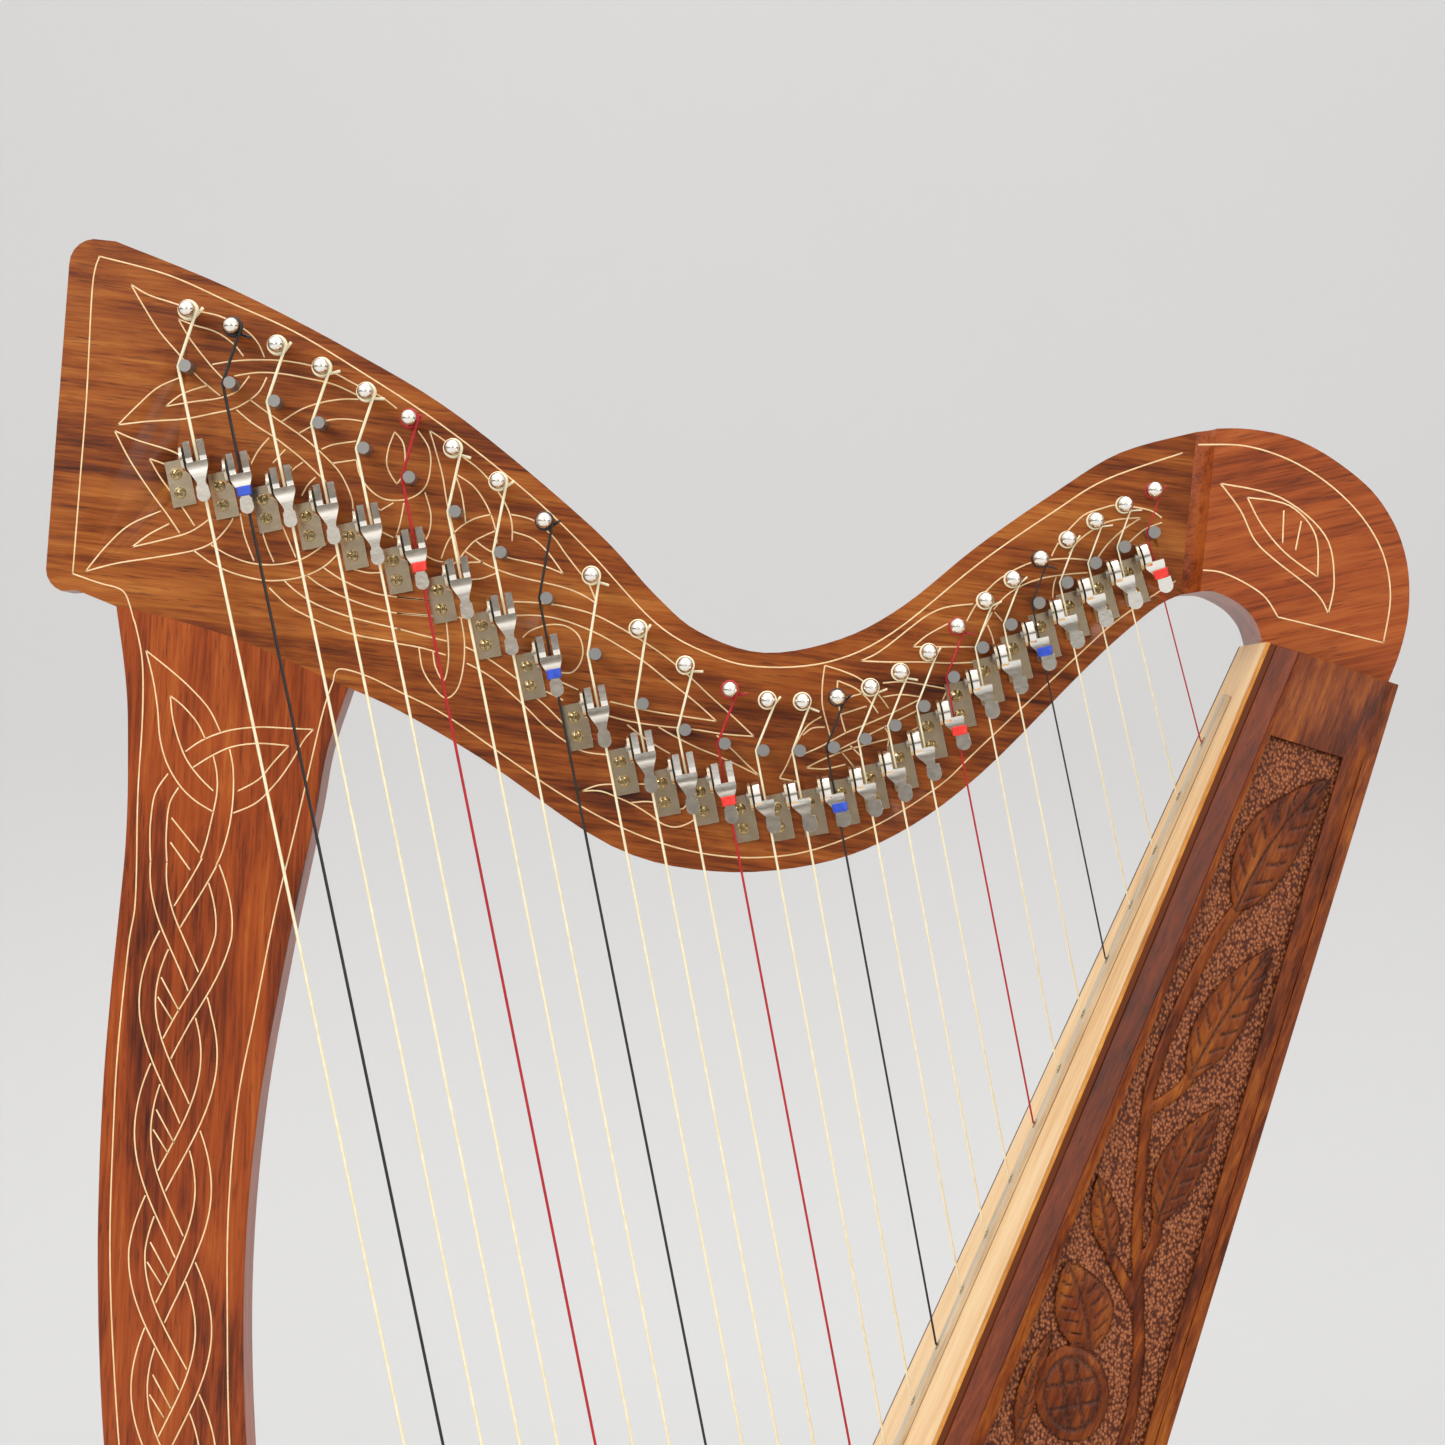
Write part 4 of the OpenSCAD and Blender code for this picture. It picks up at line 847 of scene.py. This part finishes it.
def relief(points):
    """Height in mm above the panel's face, never above 0, and 1 where the wood is left smooth;
    lower values in veins, midribs, leaf edges and the bud's cuts paint shade there.
    A leaf is h = -0.5 - 1.1 n^2, less a midrib and slanting veins, with n the share of the way
    from its middle line to its edge; a stem is a half round; the ground is -CARVE."""
    wave = np.sin(points[:, 0] * 1.9 + 2 * np.sin(points[:, 1] * 0.7)) * np.sin(points[:, 1] * 2.3)
    height = -CARVE + 0.10 * wave
    worked = np.zeros(len(points))
    for line in STEMS:
        away = along_line(points, line) / 2.5
        stem = -CARVE + 0.3 + 1.5 * np.sqrt(np.clip(1 - away ** 2, 0, 1))
        height = np.where(away < 1, np.maximum(height, stem), height)
        worked = np.maximum(worked, away < 1)
    for base, tip, wide, bulge in LEAVES:
        base, tip = np.array(base, float), np.array(tip, float)
        length = np.linalg.norm(tip - base)
        way = (tip - base) / length
        square = np.array([-way[1], way[0]])
        front = -1 if square[1] > 0 else 1
        s = (points - base) @ way / length
        lift = bulge * -front * np.sin(math.pi * np.clip(s, 0, 1))
        half = wide / 2 * np.sin(math.pi * np.clip(s, 0, 1) ** 0.85) ** 0.8 + 1e-6
        n = ((points - base) @ square - lift) / half
        inside = (s > 0) & (s < 1) & (np.abs(n) < 1)
        top = -0.5 - 1.1 * np.abs(n) ** 2.4
        top = top - 0.55 * np.exp(-(n * half / 0.7) ** 2)
        beat = np.mod(s * 7.5 - 1.1 * np.abs(n) ** 1.7, 1) - 0.5
        vein = np.exp(-(beat / 0.09) ** 2) * (np.abs(n) > 0.26) * (np.abs(n) < 0.8)
        top = top - 0.6 * vein
        rib = np.exp(-(n * half / 0.6) ** 2)
        height = np.where(inside, top, height)
        # Veins, the midrib and the leaf's edge get lower values: painted shade in the cuts and where the
        # leaf drops to the ground.
        kept = 1 - 0.45 * np.maximum(vein, rib) - 0.2 * np.abs(n) ** 8
        worked = np.where(inside, kept, worked)
    for centre, long_half, short_half, turned in BUDS:
        away = points - np.array(centre, float)
        p = (away @ np.array([math.cos(turned), math.sin(turned)])) / long_half
        q = (away @ np.array([-math.sin(turned), math.cos(turned)])) / short_half
        far = np.hypot(p, q)
        dome = -0.4 - 1.7 * np.clip(far, 0, 1) ** 3
        rim = np.exp(-((far - 0.74) / 0.05) ** 2)
        hatch = np.exp(-((np.abs(p) - 0.24) * long_half / 0.8) ** 2)
        hatch = np.maximum(hatch, np.exp(-((np.abs(q) - 0.2) * short_half / 0.8) ** 2))
        cut = np.maximum(rim, hatch * (far < 0.7))
        height = np.where(far < 1, dome - 0.7 * cut, height)
        # The bud's rim and hatching get lower values: painted shade in its cuts.
        worked = np.where(far < 1, 1 - 0.45 * cut, worked)
    return height, worked


BOARD_TILT = math.radians(23.7)
board_down = np.array([-math.sin(BOARD_TILT), 0, -math.cos(BOARD_TILT)])
board_in = np.array([math.cos(BOARD_TILT), 0, -math.sin(BOARD_TILT)])
BOX_TOP = np.array([229.5, 0, 746])


def on_board(u, v):
    """The point u down the soundboard and v behind its face, on the middle line, in mm."""
    return BOX_TOP + np.multiply.outer(u, board_down) + np.multiply.outer(v, board_in)


def panel(side, name):
    """The whole panel as a closed solid. Its outer face is y = side (A + B u + C v + slant h):
    rows run down the board and columns run from the stave to the back."""
    t = np.concatenate([[-3, -2, 0], np.linspace(0, 1, 800), [1, 2, 3]])
    c = np.concatenate([[-3, -2, 0], np.linspace(0, 1, 104), [1, 2, 3]])
    t[2:4], t[-4:-2] = (0, 0.0006), (0.9994, 1)
    c[2:4], c[-4:-2] = (0, 0.004), (0.996, 1)
    across = np.clip(c, 0, 1)
    start, stop = 36 - 4 * across, 700 - 30 * across
    down = np.clip(t, 0, 1)[:, None]
    u = start + down * (stop - start)
    front = 15.5 + 0.011 * (u - 36)
    back = 49 + 0.113 * (np.minimum(u, 400) - 36) + 0.095 * np.maximum(u - 400, 0)
    v = front + across * (back - front)
    edge_front, edge_back = 13.5, 53.98 + 0.0981 * (u + 6.2) - 0.05
    v = np.where(c <= -2, edge_front + (c > -3) * 0.8, v)
    v = np.where(c >= 2, edge_back - (c < 3) * 0.8, v)
    top = -6.2 * v / 59.0
    bottom = (718 - 0.402 * v) / 0.9157
    rows = t[:, None]
    u = np.where(rows <= -2, top + (rows > -3) * 0.8, np.where(rows >= 2, bottom, u))
    u = np.where(rows == 3, bottom, np.where(rows == 2, bottom - 0.8, u))
    points = np.stack([u.ravel(), v.ravel()], axis=1)
    height, worked = relief(points)
    inner = (rows >= 0) & (rows <= 1) & (c >= 0) & (c <= 1)
    inner[[2, -3], :] = False
    inner[:, [2, -3]] = False
    height = np.where(inner.ravel(), height, 0.0)
    worked = np.where(inner.ravel(), worked, 1.0)
    rim = ((rows == -3) | (rows == 3) | (c == -3) | (c == 3)).ravel()
    height = np.where(rim, -0.5, height)
    n, k = u.shape
    flat = np.arange(n * k).reshape(n, k)
    loop = np.concatenate([flat[0, :-1], flat[:-1, -1], flat[-1, :0:-1], flat[:0:-1, 0]])
    points = np.vstack([points, points[loop]])
    height = np.concatenate([height, np.full(len(loop), -6.0)])
    worked = np.concatenate([worked, np.ones(len(loop))])
    y = side * (SIDE_A + SIDE_B * points[:, 0] + SIDE_C * points[:, 1] + SLANT * height)
    verts = on_board(points[:, 0], points[:, 1])
    verts[:, 1] = y
    i, j = np.meshgrid(np.arange(n - 1), np.arange(k - 1), indexing="ij")
    a = (i * k + j).ravel()
    quads = np.stack([a, a + 1, a + 1 + k, a + k], axis=1)
    first = n * k
    here = np.arange(len(loop))
    ahead = (here + 1) % len(loop)
    skirt = np.stack([loop[here], first + here, first + ahead, loop[ahead]], axis=1)
    faces = quads.tolist() + skirt.tolist() + [(first + here[::-1]).tolist()]
    if side < 0:
        faces = [face[::-1] for face in faces]
    item = make_object(name, verts, faces, carved_wood)
    item.data.attributes.new("smooth_wood", "FLOAT", "POINT").data.foreach_set(
        "value", worked.astype(np.float32))
    item.data.set_sharp_from_angle(angle=math.radians(50))
    return item


for side, name in ((-1, "side_panel_left"), (1, "side_panel_right")):
    carved = panel(side, name + "_carved")
    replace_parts(carved, name)
    print(name, len(carved.data.polygons), "faces")

# %% [markdown]
# Each string is wound three turns round its tuning pin, comes off the pin's right side, bears on
# the left of its bridge pin and runs straight through its lever to an eyelet in the rib. The cut
# end stands off the winding at whatever angle it was left.

# %% Strings
def pin_places(node, count=27):
    """x and z of each pin's middle in mm, from left to right: the node's points split at gaps."""
    co = np.empty(len(nodes[node].data.vertices) * 3, np.float32)
    nodes[node].data.vertices.foreach_get("co", co)
    co = co.reshape(-1, 3) / MM
    co = co[np.argsort(co[:, 0])]
    groups = np.split(co, np.flatnonzero(np.diff(co[:, 0]) > 2) + 1)
    assert len(groups) == count, len(groups)
    return np.array([(g.min(0) + g.max(0))[[0, 2]] / 2 for g in groups])


tuning, bridge = pin_places("tuning_pins"), pin_places("bridge_pins")
STRING_Y = -25.0


def string_path(number):
    """The middle line of a string and its radius: tail, winding, run to the bridge pin, run to
    the rib, and the end inside the soundbox. The winding is p = c + R (cos q, 0, sin q) with y
    moving one string's width a turn."""
    k = 27 - number
    radius = 0.7 + (0.32 - 0.7) * (number - 1) / 26
    pin, post = tuning[number - 1], bridge[number - 1]
    round_pin = 2.6 + radius + 0.45
    last = math.radians(-10)
    turns = np.linspace(last + 2 * math.pi * 2.9, last, 90)
    wind_y = STRING_Y - 0.2 + np.linspace(2.4, -1.2, 90) * (radius / 0.7)
    winding = np.stack([pin[0] + round_pin * np.cos(turns), wind_y,
                        pin[1] + round_pin * np.sin(turns)], axis=1)
    tail_turn = turns[0] + math.radians(65 + 40 * math.sin(number * 2.4))
    tail_end = winding[0] + np.array([5.2 * math.cos(tail_turn), -1.4, 5.2 * math.sin(tail_turn)])
    tail = winding[0] + (tail_end - winding[0]) * np.linspace(1, 0.15, 4)[:, None]
    top = np.array([post[0] - 2.6 - radius - 0.05, STRING_Y, post[1]])
    end = on_board(47.7 + 25.6 * k + 0.037 * k * k, -3.9)
    inside = on_board(47.7 + 25.6 * k + 0.037 * k * k, 10.5)
    runs = [tail, winding]
    for a, b, count in ((winding[-1], top, 6), (top, end, 30), (end, inside, 5)):
        runs.append(a + (b - a) * np.linspace(0, 1, count)[1:, None])
    return np.vstack(runs), radius


def frame_tube(line, radius, sides=10):
    """A round tube along a line in space. No string runs straight in or out of the harp's face, so
    the section's side is tangent x Y all the way."""
    way = np.gradient(line, axis=0)
    return sweep(line, ring(radius, sides), np.cross(way, (0, 1, 0)))


string_sets = {"strings_natural": ([], nylon_cream, "nylon_clear"),
               "strings_c": ([], nylon_red, "nylon_red"),
               "strings_f": ([], nylon_black, "nylon_black")}
for number in range(1, 28):
    kind = "strings_c" if (number + 1) % 7 == 0 else (
        "strings_f" if (number + 5) % 7 == 0 else "strings_natural")
    line, radius = string_path(number)
    string_sets[kind][0].append(frame_tube(line, radius))
for node, (parts, material, its_slot) in string_sets.items():
    verts, faces = gather(parts)
    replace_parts(make_object(node + "_drawn", verts, faces, material), node)
print("strings:", sum(len(s[0]) for s in string_sets.values()))

# %% [markdown]
# The levers are small castings with rounded corners, so their copies get a fine easing that
# catches the light. Players find their way by colour: a red sleeve on each C lever and a blue one
# on each F lever, pushed up under the lever's shoulder.

# %% Levers, brackets and sleeves
def lever_frame(joint):
    """The lever's axle point and its axes: across the string, out of the face, up the string."""
    at = np.array(joint["pos_m"]) / MM
    across = -np.array(joint["axis"], float)
    number = int(joint["name"][6:8])
    k = 27 - number
    up = at - on_board(47.7 + 25.6 * k + 0.037 * k * k, -3.9)
    up /= np.linalg.norm(up)
    return number, at, across, np.cross(across, up), up


def sleeve(joint):
    """A short tube round the lever's neck. Its section is a rounded rectangle,
    x = w sign(cos q) |cos q|^0.5 and y = 1.9 sign(sin q) |sin q|^0.5."""
    number, at, across, out, up = lever_frame(joint)
    forked = number <= 13
    drop = np.linspace(-8.3, -12.2, 9) if forked else np.linspace(-6.6, -10.4, 9)
    shift = 0.2 if forked else 0.9
    front = np.interp(-drop, [5, 9, 20], [3.0, 3.6, 4.5])
    line = at + shift * across + np.outer(front, out) + np.outer(drop, up)
    wide = np.interp(-drop, [6, 9, 12], [3.6, 3.2, 3.0])[:, None]
    turn = (np.arange(24) + 0.5) * 2 * math.pi / 24
    boxy = [np.sign(f(turn)) * np.abs(f(turn)) ** 0.5 for f in (np.cos, np.sin)]
    section = np.stack(np.broadcast_arrays(wide * boxy[0], 1.9 * boxy[1]), axis=2)
    return sweep(line, section, across)


for joint in frame["joints"]:
    number = int(joint["name"][6:8])
    body = joint["child"]
    eased(body, 0.35, steps=2, body=body)
    if (number + 1) % 7 == 0 or (number + 5) % 7 == 0:
        verts, faces = sleeve(joint)
        paint = sleeve_red if (number + 1) % 7 == 0 else sleeve_blue
        make_object("sleeve_%02d" % number, verts, faces, paint, body=body)
eased("lever_brackets", 0.3, steps=2)

# %% [markdown]
# The brackets are held by small round-headed screws with a cross recess. One head is shaped as a
# grid of rings and spokes, a dome with the cross pressed into it, and then copied to every hole.

# %% Screw heads
def screw_head(radius=2.6, rise=1.5, rings=9, spokes=40):
    """A dome h(r) = rise (1 - (r / radius)^2)^0.5, less a cross 0.8 mm deep, on a short skirt."""
    r = radius * np.sin(np.linspace(0, math.pi / 2, rings))[1:, None]
    q = np.arange(spokes)[None, :] * 2 * math.pi / spokes
    x, y = r * np.cos(q), r * np.sin(q)
    height = rise * np.sqrt(np.clip(1 - (r / radius) ** 2, 0, 1)) + 0 * x
    arm = np.minimum(np.abs(x), np.abs(y))
    pressed = (arm < 0.36) & (r < 1.75)
    height = height - 0.8 * pressed
    verts = np.stack([x, y, height], axis=-1).reshape(-1, 3)
    skirt = verts[-spokes:] - (0, 0, 0.6)
    verts = np.vstack([verts, skirt, [(0, 0, rise - 0.8)]])
    i, j = np.meshgrid(np.arange(rings - 1), np.arange(spokes), indexing="ij")
    a, b = i * spokes + j, i * spokes + (j + 1) % spokes
    faces = np.stack([a, a + spokes, b + spokes, b], axis=-1).reshape(-1, 4).tolist()
    last = len(verts) - 1
    faces += [[last, n, (n + 1) % spokes] for n in range(spokes)]
    base = (rings - 1) * spokes
    faces.append([base + n for n in range(spokes)][::-1])
    return verts, faces


head_verts, head_faces = screw_head()
heads = []
for joint in frame["joints"]:
    number, at, across, out, up = lever_frame(joint)
    up_face = np.array([up[0], 0, up[2]]) / math.hypot(up[0], up[2])
    for drop, spin in ((-4.8, number * 0.9), (-13.2, number * 1.7 + 0.5)):
        spot = np.array([at[0], -14 - 1.2, at[2]]) - 11.4 * across + drop * up_face
        first = across * math.cos(spin) + up_face * math.sin(spin)
        second = np.cross((0, -1, 0), first)
        verts = spot + head_verts @ np.array([first, second, (0, -1, 0)])
        heads.append((verts, head_faces))
verts, faces = gather(heads)
screws = make_object("screw_heads", verts, faces, brass)
screws.data.set_sharp_from_angle(angle=math.radians(40))
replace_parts(screws, "bracket_screws")
